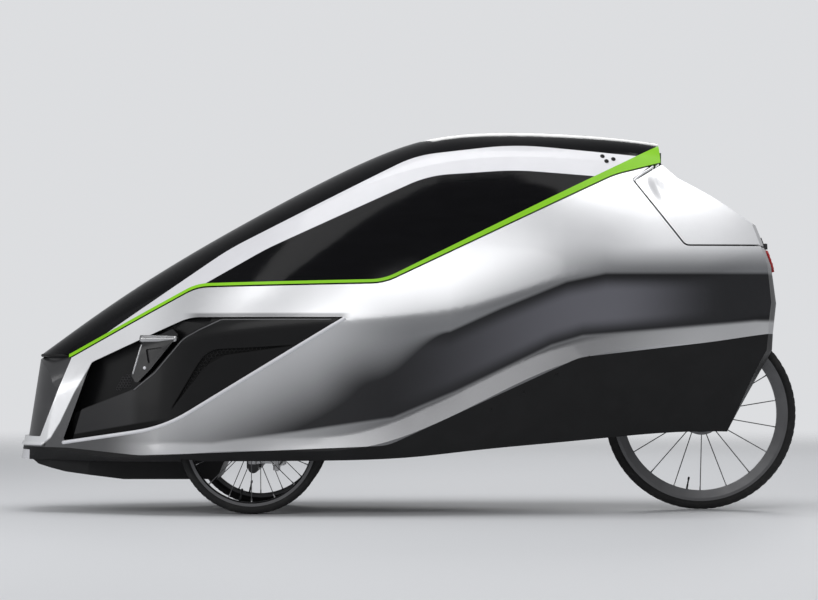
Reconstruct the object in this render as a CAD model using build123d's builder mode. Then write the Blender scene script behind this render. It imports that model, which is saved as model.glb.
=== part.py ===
import os
from collections import namedtuple
from math import hypot

from build123d import *

os.makedirs("parts", exist_ok=True)

# Frame: +X rearward, +Y to the right, +Z up, origin on the floor under the middle.

# Main dimensions
REAR_WHEEL_R = 303.5
REAR_TYRE_W = 37
REAR_RIM_R = 277
REAR_RIM_INNER_R = 243
REAR_AXLE_X = 925
FRONT_WHEEL_R = 224
FRONT_TYRE_W = 32
FRONT_RIM_R = 200
FRONT_RIM_INNER_R = 187
FRONT_AXLE_X = -485
HALF_TRACK = 270
KINGPIN_OFFSET = 55
KINGPIN_Y = HALF_TRACK - KINGPIN_OFFSET
STEER_ARM = 75
TIE_ROD_X = FRONT_AXLE_X + STEER_ARM
WALL = 12
GLASS = 5
SEAM = 5
NOSE_R = 215
NOSE_TIP_X = -1228.5
NOSE_TIP_Z = 168
NOSE_LEAN = (0.1545, 0.988)
FAR = 1500
HALF_SPAN = 520

# Body sections: half-width and height of each named edge, front to rear
Station = namedtuple(
    "Station",
    "x floor_y floor_z lip_y lip_z waist_y waist_z shoulder_y shoulder_z "
    "rail_y rail_z top_z",
)
STATIONS = [
    Station(-1240, 120, 165, 170, 184, 172, 212, 165, 330, 105, 392, 437),
    Station(-1000, 202, 162, 240, 184, 238, 214, 224, 430, 150, 548, 611),
    Station(-700, 338, 165, 376, 188, 372, 226, 350, 556, 194, 722, 805),
    Station(-400, 376, 168, 411, 200, 402, 240, 400, 588, 208, 888, 973),
    Station(-130, 378, 172, 414, 213, 398, 264, 412, 600, 212, 1020, 1107),
    Station(40, 365, 182, 410, 266, 390, 328, 412, 612, 214, 1074, 1168),
    Station(260, 330, 205, 396, 370, 372, 434, 404, 654, 215, 1104, 1194),
    Station(440, 290, 220, 378, 452, 354, 512, 392, 710, 208, 1104, 1192),
    Station(580, 255, 232, 360, 494, 338, 548, 378, 735, 188, 1096, 1184),
    Station(820, 195, 250, 322, 523, 304, 570, 344, 742, 150, 1085, 1155),
    Station(1190, 150, 262, 262, 562, 250, 606, 280, 752, 125, 1030, 1090),
]
WAIST_R = 45
SHOULDER_R = 100
SIDE_BULGE = 0.12


def section_corners(station, inset):
    corners = [
        (0, station.floor_z),
        (station.floor_y, station.floor_z),
        (station.lip_y, station.lip_z),
        (station.waist_y, station.waist_z),
        (station.shoulder_y, station.shoulder_z),
        (station.rail_y, station.rail_z),
        (0, station.top_z),
    ]
    normals = []
    for (ya, za), (yb, zb) in zip(corners, corners[1:]):
        size = hypot(yb - ya, zb - za)
        normals.append(((za - zb) / size, (yb - ya) / size))
    moved = [(0, station.floor_z + inset)]
    for (y, z), (ny_a, nz_a), (ny_b, nz_b) in zip(corners[1:], normals, normals[1:]):
        share = inset / (1 + ny_a * ny_b + nz_a * nz_b)
        moved.append((y + share * (ny_a + ny_b), z + share * (nz_a + nz_b)))
    moved.append((0, station.top_z - inset))
    return moved


def side_start(corners, bulge):
    (y, z), (rail_y, rail_z) = corners[4], corners[5]
    chord = hypot(rail_y - y, rail_z - z)
    uy = (rail_y - y) / chord
    uz = (rail_z - z) / chord
    lean = (uy + bulge * uz, uz - bulge * uy)
    return lean, (y + 45 * lean[0], z + 45 * lean[1])


# Side outline that trims the cabin end, the tail and the rear of the fairing
TAIL_OUTLINE = [
    (-FAR, 0), (-FAR, FAR), (786, FAR), (786, 1088), (838, 1040), (1090, 898), (1106, 860),
    (1140, 770), (1156, 652), (1146, 560), (1143, 505), (1000, 252), (1000, 0),
]


def half_body(inset):
    with BuildPart() as body:
        for station in STATIONS:
            corners = [(-y, z) for y, z in section_corners(station, inset)]
            lean, start = side_start(section_corners(station, inset), SIDE_BULGE)
            with BuildSketch(Plane.YZ.offset(station.x)):
                with BuildLine():
                    FilletPolyline(*corners[:5], (-start[0], start[1]),
                                   radius=[0, 0, WAIST_R + inset, SHOULDER_R - inset])
                    TangentArc((-start[0], start[1]), corners[5], tangent=(-lean[0], lean[1]))
                    TangentArc(corners[6], corners[5], tangent=(-1, 0))
                    Line(corners[6], corners[0])
                make_face()
        loft()
        nose = Plane(
            origin=(NOSE_TIP_X, 0, NOSE_TIP_Z),
            x_dir=(NOSE_LEAN[1], 0, -NOSE_LEAN[0]),
            z_dir=(NOSE_LEAN[0], 0, NOSE_LEAN[1]),
        )
        with BuildSketch(nose):
            with BuildLine():
                bow = CenterArc((NOSE_R, 0), NOSE_R - inset, 180, 62)
                flank = PolarLine(bow @ 1, FAR, angle=-28)
                Polyline(flank @ 1, (2 * FAR, -FAR), (2 * FAR, 0), bow @ 0)
            make_face()
        extrude(amount=FAR, both=True, mode=Mode.INTERSECT)
        with BuildSketch(Plane.XZ):
            with BuildLine():
                Polyline(*TAIL_OUTLINE, close=True)
            make_face()
            if inset:
                offset(amount=-inset, kind=Kind.INTERSECTION)
        extrude(amount=FAR, both=True, mode=Mode.INTERSECT)
    return body.part


# Lines of the side view, front to rear: (x, z, corner radius)
GREEN_LOW = [(-FAR, 483, 0), (-1060, 483, 30), (-655, 703, 150), (-75, 714, 180),
             (640, 1054, 250), (786, 1092, 0), (FAR, 1278, 0)]
GREEN_HIGH = [(-FAR, 492, 0), (-1063, 492, 30), (-657, 712, 150), (-77, 723, 180), (FAR, 1502, 0)]
HEM = [(-FAR, 208, 0), (-1060, 203, 200), (-830, 184, 300), (-65, 216, 150), (520, 484, 150),
       (FAR, 597, 0)]
RAIL_HIGH = [(-960, 545, 0), (-560, 820, 800), (20, 1112, 350), (330, 1147, 900), (800, 1104, 0)]
RAIL_LOW = [(-960, 500, 0), (-660, 694, 300), (-440, 819, 800), (60, 1046, 350), (330, 1063, 900),
            (800, 1028, 0)]
INSET = [(-1078, 222, 8), (-985, 468, 22), (-672, 607, 150), (-196, 607, 2), (-749, 273, 450)]
NOSE_OPENING = [(-FAR, 481, 0), (-1053, 481, 0), (-1152, 236, 6), (-FAR, 236, 0)]
LID_OPENING = [(692, 1036, 8), (760, 1086, 0), (760, FAR, 0), (FAR, FAR, 0), (FAR, 826, 0),
               (848, 826, 28)]
LID = [(701, 1031, 6), (786, 1083, 0), (800, 1083, 0), (800, FAR, 0), (FAR, FAR, 0),
       (FAR, 831, 0), (850, 831, 24)]


def lowered(line, drop):
    return [(x, z - drop, r) for x, z, r in line]


def above(line):
    return [*line, (line[-1][0], 2 * FAR, 0), (line[0][0], 2 * FAR, 0)]


def below(line):
    return [*line, (line[-1][0], -FAR, 0), (line[0][0], -FAR, 0)]


def area(line):
    with BuildSketch() as face:
        with BuildLine():
            points = [(x, z) for x, z, r in line]
            FilletPolyline(*points, radius=[r for x, z, r in line], close=True)
        make_face()
    return face.sketch


def both_sides(half):
    with BuildPart() as whole:
        add(half)
        mirror(about=Plane.XZ)
    return whole.part


def other_side(half):
    with BuildPart() as right:
        add(half)
        mirror(about=Plane.XZ, mode=Mode.REPLACE)
    return right.part


def save(piece, name):
    piece.label = name
    export_step(piece, f"parts/{name}.step")


outer = half_body(0)
glass_core = half_body(GLASS)
wall_core = half_body(WALL)
liner = half_body(WALL + 0.3)
liner_core = half_body(WALL + 8)

with BuildPart() as shell:
    add(outer)
    add(wall_core, mode=Mode.SUBTRACT)
with BuildPart() as thin_shell:
    add(outer)
    add(glass_core, mode=Mode.SUBTRACT)
with BuildPart() as liner_shell:
    add(liner)
    add(liner_core, mode=Mode.SUBTRACT)

# Silver body side
with BuildPart() as body_side:
    add(shell.part)
    with BuildSketch(Plane.XZ):
        add(area(below(lowered(GREEN_LOW, SEAM))))
        add(area(above(HEM)), mode=Mode.INTERSECT)
        add(area(INSET), mode=Mode.SUBTRACT)
        add(area(NOSE_OPENING), mode=Mode.SUBTRACT)
        add(area(LID_OPENING), mode=Mode.SUBTRACT)
    extrude(amount=HALF_SPAN, mode=Mode.INTERSECT)
save(body_side.part, "body_side_left")
save(other_side(body_side.part), "body_side_right")

# Dark front panel and black side insets behind the openings
with BuildPart() as nose_half:
    add(liner_shell.part)
    with BuildSketch(Plane.XZ):
        add(area([(-FAR, 486.5, 0), (-1045, 486.5, 0), (-1148, 228, 0), (-FAR, 228, 0)]))
    extrude(amount=HALF_SPAN, mode=Mode.INTERSECT)
save(both_sides(nose_half.part), "nose_panel")

# Side mouldings: a lamp bay sunk to a flat back wall, and the fender panel with its air slit
FENDER = [(-598, 640, 0), (-598, 594, 45), (-690, 545, 90), (-782, 440, 60), (-846, 386, 60),
          (-1016, 322, 14), (-1050, 210, 0), (-1050, 100, 0), (0, 100, 0), (0, 640, 0)]
AIR_SLIT = [(-726, 326, 0), (-616, 508, 80), (-352, 521, 0), (-592, 487, 60)]
LAMP_POD = [(-823, 527, 5), (-724, 571, 5), (-706, 552, 5), (-792, 448, 10), (-838, 402, 8), (-853, 428, 8)]
LAMP_RECESS = [(-808, 508, 3), (-752, 516, 3), (-800, 462, 3)]
INSET_GAP = 4
BAY_WALL = 4
BAY_FRONT = (-1000, -161)
BAY_SLOPE = -0.484


def beyond_bay_back(setback):
    x, y = BAY_FRONT
    start = (x - 200, y - 200 * BAY_SLOPE + setback)
    end = (x + 500, y + 500 * BAY_SLOPE + setback)
    with BuildPart() as room:
        with BuildSketch(Plane.XY):
            with BuildLine():
                Polyline(start, end, (end[0], -HALF_SPAN), (start[0], -HALF_SPAN), close=True)
            make_face()
        extrude(amount=FAR)
    return room.part


with BuildPart() as bay_room:
    with BuildSketch(Plane.XZ):
        add(area(INSET))
        add(area(FENDER), mode=Mode.SUBTRACT)
    extrude(amount=HALF_SPAN)
with BuildPart() as bay:
    with BuildSketch(Plane.XZ):
        add(area(INSET))
        add(area(FENDER), mode=Mode.SUBTRACT)
        offset(amount=BAY_WALL, kind=Kind.INTERSECTION)
    extrude(amount=HALF_SPAN)
    add(beyond_bay_back(BAY_WALL), mode=Mode.INTERSECT)
    add(liner, mode=Mode.INTERSECT)
with BuildPart() as fender:
    add(glass_core)
    add(liner_core, mode=Mode.SUBTRACT)
    with BuildSketch(Plane.XZ):
        add(area(INSET))
        offset(amount=-INSET_GAP, kind=Kind.INTERSECTION)
        add(area(FENDER), mode=Mode.INTERSECT)
        add(area(AIR_SLIT), mode=Mode.SUBTRACT)
    extrude(amount=HALF_SPAN, mode=Mode.INTERSECT)
with BuildPart() as bay_hollow:
    add(bay_room.part)
    add(beyond_bay_back(0), mode=Mode.INTERSECT)
with BuildPart() as side_inset:
    add(liner_shell.part)
    with BuildSketch(Plane.XZ):
        add(area(INSET))
        offset(amount=9, kind=Kind.INTERSECTION)
        add(area(below(lowered(GREEN_LOW, SEAM + 3))), mode=Mode.INTERSECT)
    extrude(amount=HALF_SPAN, mode=Mode.INTERSECT)
    add(fender.part)
    add(bay.part)
    add(bay_hollow.part, mode=Mode.SUBTRACT)
save(side_inset.part, "side_inset_left")
save(other_side(side_inset.part), "side_inset_right")

# Black lower shell, floor and chin
FLOOR_EDGE = [(s.x, s.floor_y - 14) for s in STATIONS if -1100 < s.x < 600]
FLOOR_FRONT = -1150
FLOOR_REAR = 590
FLOOR_TOP = 250
ARCH_FRONT = FRONT_AXLE_X - 262
ARCH_REAR = FRONT_AXLE_X + 262
ARCH_INNER_Y = 172
STEER_ROOM_X = FRONT_AXLE_X - 212
STEER_ROOM_L = 140
STEER_ROOM_Y = 353
CHIN_X = -1190
CHIN_Z = 194
with BuildPart() as floor_half:
    add(shell.part)
    with BuildSketch(Plane.XY):
        with BuildLine():
            Polyline(
                (FLOOR_FRONT, 0), (FLOOR_FRONT, -136), *[(x, -y) for x, y in FLOOR_EDGE],
                (FLOOR_REAR, -FLOOR_EDGE[-1][1]), (FLOOR_REAR, 0), close=True,
            )
        make_face()
        with Locations((FRONT_AXLE_X, -ARCH_INNER_Y)):
            Rectangle(ARCH_REAR - ARCH_FRONT, 2 * HALF_SPAN, align=(Align.CENTER, Align.MAX),
                      mode=Mode.SUBTRACT)
    extrude(amount=FLOOR_TOP, mode=Mode.INTERSECT)
save(both_sides(floor_half.part), "floor_pan")

with BuildPart() as lower_shell:
    add(shell.part)
    with BuildSketch(Plane.XZ):
        add(area(below(HEM)))
        add(area([(-FAR, CHIN_Z, 0), (CHIN_X, CHIN_Z, 0), (CHIN_X, 0, 0), (-FAR, 0, 0)]), mode=Mode.SUBTRACT)
    extrude(amount=HALF_SPAN, mode=Mode.INTERSECT)
    with BuildSketch(Plane.XY):
        with BuildLine():
            Polyline(
                (FLOOR_FRONT, 0), (FLOOR_FRONT, -136), *[(x, -y) for x, y in FLOOR_EDGE],
                (FLOOR_REAR, -FLOOR_EDGE[-1][1]), (FLOOR_REAR, 0), close=True,
            )
        make_face()
        with Locations((FLOOR_REAR, 0)):
            Rectangle(FAR, 150, align=(Align.MIN, Align.CENTER))
    extrude(amount=FAR, mode=Mode.SUBTRACT)
    with Locations((STEER_ROOM_X, 0, 0)):
        Box(STEER_ROOM_L, 2 * STEER_ROOM_Y, FLOOR_TOP, align=(Align.MIN, Align.CENTER, Align.MIN),
            mode=Mode.SUBTRACT)
save(lower_shell.part, "lower_shell_left")
save(other_side(lower_shell.part), "lower_shell_right")

with BuildPart() as chin_half:
    add(shell.part)
    with BuildSketch(Plane.XZ):
        add(area([(-FAR, CHIN_Z, 0), (CHIN_X, CHIN_Z, 0), (CHIN_X, 0, 0), (-FAR, 0, 0)]))
    extrude(amount=HALF_SPAN, mode=Mode.INTERSECT)
save(both_sides(chin_half.part), "chin_lip")

CHIN_TRAY = [(-1185, 161.7), (-1165, 148), (-1074, 126), (-890, 103), (-600, 103), (-575, 161.7)]
with BuildPart() as chin_tray:
    with BuildSketch(Plane.XZ):
        with BuildLine():
            Polyline(*CHIN_TRAY, close=True)
        make_face()
    extrude(amount=165, both=True)
    with BuildSketch(Plane.XY):
        with BuildLine():
            Polyline((-1185, -70), (-1120, -130), (-1000, -165), (-500, -165), (-500, 165), (-1000, 165),
                     (-1120, 130), (-1185, 70), close=True)
        make_face()
    extrude(amount=300, mode=Mode.INTERSECT)
    offset(amount=-6, openings=chin_tray.faces().sort_by(Axis.Z)[-1], kind=Kind.INTERSECTION)
save(chin_tray.part, "chin_tray")

# Canopy: roof glass, rails, side windows and the green trim round its edge
with BuildPart() as roof_half:
    add(thin_shell.part)
    with BuildSketch(Plane.XZ):
        add(area(above(GREEN_HIGH)))
        add(area(below(RAIL_HIGH)), mode=Mode.SUBTRACT)
    extrude(amount=HALF_SPAN, mode=Mode.INTERSECT)
save(both_sides(roof_half.part), "canopy_roof")

with BuildPart() as rail:
    add(shell.part)
    with BuildSketch(Plane.XZ):
        add(area(above(GREEN_HIGH)))
        add(area([*RAIL_HIGH, *reversed(RAIL_LOW)]), mode=Mode.INTERSECT)
    extrude(amount=HALF_SPAN, mode=Mode.INTERSECT)
save(rail.part, "canopy_rail_left")
save(other_side(rail.part), "canopy_rail_right")

with BuildPart() as window:
    add(thin_shell.part)
    with BuildSketch(Plane.XZ):
        add(area(above(GREEN_HIGH)))
        add(area(below(RAIL_LOW)), mode=Mode.INTERSECT)
    extrude(amount=HALF_SPAN, mode=Mode.INTERSECT)
save(window.part, "side_window_left")
save(other_side(window.part), "side_window_right")

with BuildPart() as trim_half:
    add(shell.part)
    with BuildSketch(Plane.XZ):
        add(area(above(GREEN_LOW)))
        add(area(below(GREEN_HIGH)), mode=Mode.INTERSECT)
        add(area([(-1062, 0, 0), (-1062, FAR, 0), (FAR, FAR, 0), (FAR, 0, 0)]), mode=Mode.INTERSECT)
    extrude(amount=HALF_SPAN, mode=Mode.INTERSECT)
save(both_sides(trim_half.part), "belt_trim")

# Boot lid with its grip scoop
with BuildPart() as lid_half:
    add(thin_shell.part)
    with BuildSketch(Plane.XZ):
        add(area(LID))
    extrude(amount=HALF_SPAN, mode=Mode.INTERSECT)
    with Locations((760, 0, 1045)):
        Box(46, 270, 100, align=(Align.MIN, Align.CENTER, Align.MIN), mode=Mode.SUBTRACT)
save(both_sides(lid_half.part), "boot_lid")

# Wheels: tyre, rim with spokes and hub
Wheel = namedtuple(
    "Wheel", "name x y r tyre_w rim_r rim_inner_r spokes spoke_r hub_r hub_half flange_r bore_r"
)
WHEELS = [
    Wheel("front_left", FRONT_AXLE_X, -HALF_TRACK, FRONT_WHEEL_R, FRONT_TYRE_W, FRONT_RIM_R,
          FRONT_RIM_INNER_R, 16, 1.3, 38, 24.7, 52, 8.05),
    Wheel("front_right", FRONT_AXLE_X, HALF_TRACK, FRONT_WHEEL_R, FRONT_TYRE_W, FRONT_RIM_R,
          FRONT_RIM_INNER_R, 16, 1.3, 38, 24.7, 52, 8.05),
    Wheel("rear", REAR_AXLE_X, 0, REAR_WHEEL_R, REAR_TYRE_W, REAR_RIM_R,
          REAR_RIM_INNER_R, 18, 1.6, 58, 52, 66, 7.05),
]
BEAD_DEPTH = 7
FLANGE = 2.5
for w in WHEELS:
    axle = Axis((w.x, w.y, w.r), (0, 1, 0))
    seat_r = w.rim_r - BEAD_DEPTH
    half_rim = 0.4 * w.tyre_w
    half_bead = half_rim - FLANGE
    plane = Plane(origin=(w.x, w.y, w.r), x_dir=(0, 1, 0), z_dir=(1, 0, 0))
    with BuildPart() as tyre:
        with BuildSketch(plane):
            with BuildLine():
                Polyline((-half_bead, w.rim_r), (-half_bead, seat_r), (half_bead, seat_r),
                         (half_bead, w.rim_r))
                ThreePointArc((half_bead, w.rim_r), (w.tyre_w / 2, (w.rim_r + w.r) / 2),
                              (w.tyre_w / 3, w.r - 4))
                ThreePointArc((w.tyre_w / 3, w.r - 4), (0, w.r), (-w.tyre_w / 3, w.r - 4))
                ThreePointArc((-w.tyre_w / 3, w.r - 4), (-w.tyre_w / 2, (w.rim_r + w.r) / 2),
                              (-half_bead, w.rim_r))
            make_face()
        revolve(axis=axle)
    save(tyre.part, f"{w.name}_tyre")
    with BuildPart() as wheel:
        with BuildSketch(plane):
            with BuildLine():
                Polyline(
                    (-half_rim, w.rim_r), (-half_bead, w.rim_r), (-half_bead, seat_r), (half_bead, seat_r),
                    (half_bead, w.rim_r), (half_rim, w.rim_r), (half_rim - 1, seat_r - 2),
                    (half_rim / 2, w.rim_inner_r), (-half_rim / 2, w.rim_inner_r),
                    (1 - half_rim, seat_r - 2), close=True,
                )
            make_face()
            with BuildLine():
                edge = w.hub_half
                Polyline(
                    (-edge, w.bore_r), (edge, w.bore_r), (edge, w.hub_r - 4), (edge - 4, w.hub_r),
                    (edge - 6, w.flange_r), (edge - 10, w.flange_r), (edge - 12, w.hub_r),
                    (12 - edge, w.hub_r), (10 - edge, w.flange_r), (6 - edge, w.flange_r),
                    (4 - edge, w.hub_r), (-edge, w.hub_r - 4), close=True,
                )
            make_face()
        revolve(axis=axle)
        for n in range(w.spokes):
            flange_y = (w.hub_half - 8) * (1 if n % 2 else -1)
            foot = Vector(0, flange_y, -w.flange_r + 3).rotate(Axis.Y, 360 * n / w.spokes)
            head = Vector(0, 0, -w.rim_inner_r - 3).rotate(Axis.Y, 360 * n / w.spokes)
            centre = Vector(w.x, w.y, w.r)
            with BuildSketch(Plane(origin=centre + foot, z_dir=head - foot)):
                Circle(w.spoke_r)
            extrude(amount=(head - foot).length)
    save(wheel.part, f"{w.name}_wheel")

# Front axle beam with kingpins, and the steering knuckles
BEAM_Z = 138
BEAM_R = 16
KINGPIN_R = 8
EAR_LOW = 140
EAR_HIGH = 284
EAR = 12
FIT = 0.05
with BuildPart() as front_axle:
    with BuildSketch(Plane.XZ):
        with Locations((FRONT_AXLE_X, BEAM_Z)):
            Circle(BEAM_R)
    extrude(amount=184, both=True)
    for side in (-1, 1):
        with Locations((FRONT_AXLE_X, side * 183, (EAR_LOW + EAR_HIGH + EAR) / 2)):
            Box(40, 10, EAR_HIGH + EAR - EAR_LOW)
        for z in (EAR_LOW, EAR_HIGH):
            with Locations((FRONT_AXLE_X, side * 203, z + EAR / 2)):
                Box(34, 50, EAR)
        with Locations((FRONT_AXLE_X, side * KINGPIN_Y, EAR_LOW)):
            Cylinder(KINGPIN_R, EAR_HIGH + EAR - EAR_LOW + 6, align=(Align.CENTER, Align.CENTER, Align.MIN))
        with Locations((FRONT_AXLE_X, side * 110, BEAM_Z)):
            Box(44, 40, 28.7, align=(Align.CENTER, Align.CENTER, Align.MIN))
save(front_axle.part, "front_axle")

ARM_Z = 154
ARM_T = 12
with BuildPart() as knuckle:
    with Locations((FRONT_AXLE_X, -KINGPIN_Y, EAR_LOW + EAR + 0.3)):
        Cylinder(17, EAR_HIGH - EAR_LOW - EAR - 0.6, align=(Align.CENTER, Align.CENTER, Align.MIN))
    with BuildSketch(Plane.XZ.offset(KINGPIN_Y)):
        with Locations((FRONT_AXLE_X, FRONT_WHEEL_R)):
            Circle(15)
    extrude(amount=KINGPIN_OFFSET - 25)
    with BuildSketch(Plane.XZ.offset(KINGPIN_Y)):
        with Locations((FRONT_AXLE_X, FRONT_WHEEL_R)):
            Circle(8)
    extrude(amount=KINGPIN_OFFSET + 34)
    with BuildSketch(Plane.XZ.offset(HALF_TRACK + 25)):
        with Locations((FRONT_AXLE_X, FRONT_WHEEL_R)):
            RegularPolygon(13, 6)
    extrude(amount=7)
    with Locations((FRONT_AXLE_X, -KINGPIN_Y, ARM_Z)):
        Box(STEER_ARM, 20, ARM_T, align=(Align.MIN, Align.CENTER, Align.MIN))
    with Locations((TIE_ROD_X, -KINGPIN_Y, ARM_Z)):
        Cylinder(10, ARM_T, align=(Align.CENTER, Align.CENTER, Align.MIN))
    with Locations((TIE_ROD_X, -KINGPIN_Y, ARM_Z - 24)):
        Cylinder(5, 24, align=(Align.CENTER, Align.CENTER, Align.MIN))
    with Locations((FRONT_AXLE_X, -KINGPIN_Y, 0)):
        Cylinder(KINGPIN_R + FIT, 2 * FAR, mode=Mode.SUBTRACT)
save(knuckle.part, "knuckle_left")
save(other_side(knuckle.part), "knuckle_right")

TIE_Z = 141
with BuildPart() as tie_rod:
    with BuildSketch(Plane.XZ):
        with Locations((TIE_ROD_X, TIE_Z)):
            Circle(6)
    extrude(amount=KINGPIN_Y - 4, both=True)
    for side in (-1, 1):
        with Locations((TIE_ROD_X, side * KINGPIN_Y, TIE_Z)):
            Cylinder(11, 16)
            Cylinder(5 + FIT, 60, mode=Mode.SUBTRACT)
save(tie_rod.part, "tie_rod")

# Rear fork with the axle
HUB_HALF = WHEELS[2].hub_half
ARM_IN = HUB_HALF + 8
ARM_W = 12
FORK_SIDE = [(500, 237.9), (588, 245.3), (600, 270), (900, 282), (940, 286), (952, 303), (940, 320),
             (900, 326), (600, 332), (500, 322)]
with BuildPart() as rear_fork:
    with BuildSketch(Plane.XZ):
        with BuildLine():
            Polyline(*FORK_SIDE, close=True)
        make_face()
    extrude(amount=ARM_IN + ARM_W, both=True)
    with Locations((588, 0, 0)):
        Box(2 * FAR, 2 * ARM_IN, 2 * FAR, align=(Align.MIN, Align.CENTER, Align.CENTER), mode=Mode.SUBTRACT)
    with BuildSketch(Plane.XZ):
        with Locations((REAR_AXLE_X, REAR_WHEEL_R)):
            Circle(7)
    extrude(amount=ARM_IN + ARM_W + 14, both=True)
    for side in (-1, 1):
        with BuildSketch(Plane.XZ.offset(side * (ARM_IN + ARM_W))):
            with Locations((REAR_AXLE_X, REAR_WHEEL_R)):
                RegularPolygon(13, 6)
        extrude(amount=side * 8)
        with BuildSketch(Plane.XZ.offset(side * (HUB_HALF + 0.3))):
            with Locations((REAR_AXLE_X, REAR_WHEEL_R)):
                Circle(12)
        extrude(amount=side * (ARM_IN - HUB_HALF - 0.3))
save(rear_fork.part, "rear_fork")

# Inside: arches, battery, seat, fairing behind the head, bulkhead and boot floor
ARCH_R = 262
ARCH_T = 4
with BuildPart() as arch:
    with BuildSketch(Plane.XZ.offset(ARCH_INNER_Y - 9)):
        with Locations((FRONT_AXLE_X, FRONT_WHEEL_R)):
            Circle(ARCH_R)
    extrude(amount=140)
    with BuildSketch(Plane.XZ.offset(ARCH_INNER_Y - 5)):
        with Locations((FRONT_AXLE_X, FRONT_WHEEL_R)):
            Circle(ARCH_R - ARCH_T)
    extrude(amount=200, mode=Mode.SUBTRACT)
    add(liner, mode=Mode.INTERSECT)
save(arch.part, "wheel_arch_left")
save(other_side(arch.part), "wheel_arch_right")

FLOOR_SLOPE = 0.1
PACK_X = 205
PACK_Z = 212.2
PACK_H = 78
pack_plane = Plane(origin=(PACK_X, 0, PACK_Z), x_dir=(1, 0, FLOOR_SLOPE), z_dir=(-FLOOR_SLOPE, 0, 1))
with BuildPart() as battery:
    with BuildSketch(pack_plane):
        RectangleRounded(250, 280, 14)
    extrude(amount=PACK_H)
save(battery.part, "battery_pack")

SEAT_W = 170
SEAT_BASE = [(78, 278.2), (327, 303.1), (330, 318), (40, 335), (40, 322)]
CUSHION = [(22, 336.3), (232, 324), (250, 378), (60, 392), (22, 380)]
with BuildPart() as seat_base:
    with BuildSketch(Plane.XZ):
        with BuildLine():
            Polyline(*SEAT_BASE, close=True)
        make_face()
    extrude(amount=SEAT_W - 10, both=True)
save(seat_base.part, "seat_base")
with BuildPart() as seat_cushion:
    with BuildSketch(Plane.XZ):
        with BuildLine():
            FilletPolyline(*CUSHION, radius=12, close=True)
        make_face()
    extrude(amount=SEAT_W, both=True)
save(seat_cushion.part, "seat_cushion")
BACK_T = 48
SHELL_T = 12
with BuildPart() as seat_back:
    with BuildSketch(Plane.XZ):
        with BuildLine():
            FilletPolyline((258, 384), (316, 900), (316 - BACK_T, 900), (258 - BACK_T - 2, 392),
                           radius=16, close=True)
        make_face()
    extrude(amount=SEAT_W, both=True)
save(seat_back.part, "seat_back")
with BuildPart() as seat_shell:
    with BuildSketch(Plane.XZ):
        with BuildLine():
            Polyline((252, 323.2), (317, 905), (317 + SHELL_T, 905), (264, 322.5), close=True)
        make_face()
    extrude(amount=SEAT_W - 10, both=True)
save(seat_shell.part, "seat_shell")

FAIRING_X = 340
BULKHEAD_X = 748
with BuildPart() as fairing_half:
    add(liner_core)
    with BuildSketch(Plane.XZ):
        with BuildLine():
            Polyline((FAIRING_X, 880), (FAIRING_X, 1160), (400, FAR), (BULKHEAD_X - 0.3, FAR),
                     (BULKHEAD_X - 0.3, 1000), close=True)
        make_face()
    extrude(amount=HALF_SPAN, mode=Mode.INTERSECT)
    with BuildSketch(Plane.YZ.offset(FAIRING_X + 12)):
        with BuildLine():
            Polyline((0, 800), (0, 1110), (-110, 1085), (-190, 930), (-190, 800), close=True)
        make_face()
    extrude(amount=FAR, mode=Mode.SUBTRACT)
save(both_sides(fairing_half.part), "head_fairing")
with BuildPart() as headrest:
    with BuildSketch(Plane.YZ.offset(FAIRING_X - 0.3)):
        with Locations((0, 1000)):
            RectangleRounded(170, 110, 30)
    extrude(amount=-46)
save(headrest.part, "headrest")

BULKHEAD_T = 12
BULKHEAD_TOP = 1070
BOOT_Z = 636
BOOT_T = 10
with BuildPart() as bulkhead_half:
    add(liner)
    with Locations((BULKHEAD_X, 0, BOOT_Z)):
        Box(BULKHEAD_T, 2 * FAR, BULKHEAD_TOP - BOOT_Z, align=(Align.MIN, Align.CENTER, Align.MIN),
            mode=Mode.INTERSECT)
save(both_sides(bulkhead_half.part), "cabin_bulkhead")
with BuildPart() as boot_half:
    add(liner)
    with Locations((BULKHEAD_X + BULKHEAD_T, 0, BOOT_Z)):
        Box(FAR, 2 * FAR, BOOT_T, align=(Align.MIN, Align.CENTER, Align.MIN), mode=Mode.INTERSECT)
save(both_sides(boot_half.part), "boot_floor")

# Hinges: canopy at the cabin's rear edge, boot lid at the tail
CANOPY_PIVOT = (791, 1082)
LID_PIVOT = (1125, 836)
PIN_R = 3
KNUCKLE_R = 6
HINGE_Y = 100
LEAF_W = 24
LUG_W = 10
with BuildPart() as canopy_hinge_base:
    for side in (-1, 1):
        for step in (-1, 1):
            lug_y = side * HINGE_Y + step * (LEAF_W + LUG_W + 0.4) / 2
            with BuildSketch(Plane.XZ.offset(-lug_y)):
                with BuildLine():
                    Polyline((BULKHEAD_X + BULKHEAD_T, 1040), (BULKHEAD_X + BULKHEAD_T, 1068), (786, 1086),
                             (795, 1086), (795, 1078), (785, 1062), close=True)
                make_face()
            extrude(amount=LUG_W / 2, both=True)
        with BuildSketch(Plane.XZ.offset(-side * HINGE_Y)):
            with Locations(CANOPY_PIVOT):
                Circle(PIN_R)
        extrude(amount=LEAF_W / 2 + LUG_W, both=True)
save(canopy_hinge_base.part, "canopy_hinge_base")
with BuildPart() as canopy_hinge_leaf:
    for side in (-1, 1):
        with BuildSketch(Plane.XZ.offset(-side * HINGE_Y)):
            with Locations(CANOPY_PIVOT):
                Circle(KNUCKLE_R)
            with BuildLine():
                Polyline((786.3, 1080), (791, 1080), (791, 1124), (786.3, 1124), close=True)
            make_face()
            with Locations(CANOPY_PIVOT):
                Circle(PIN_R + FIT, mode=Mode.SUBTRACT)
        extrude(amount=LEAF_W / 2, both=True)
save(canopy_hinge_leaf.part, "canopy_hinge_leaf")

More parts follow.
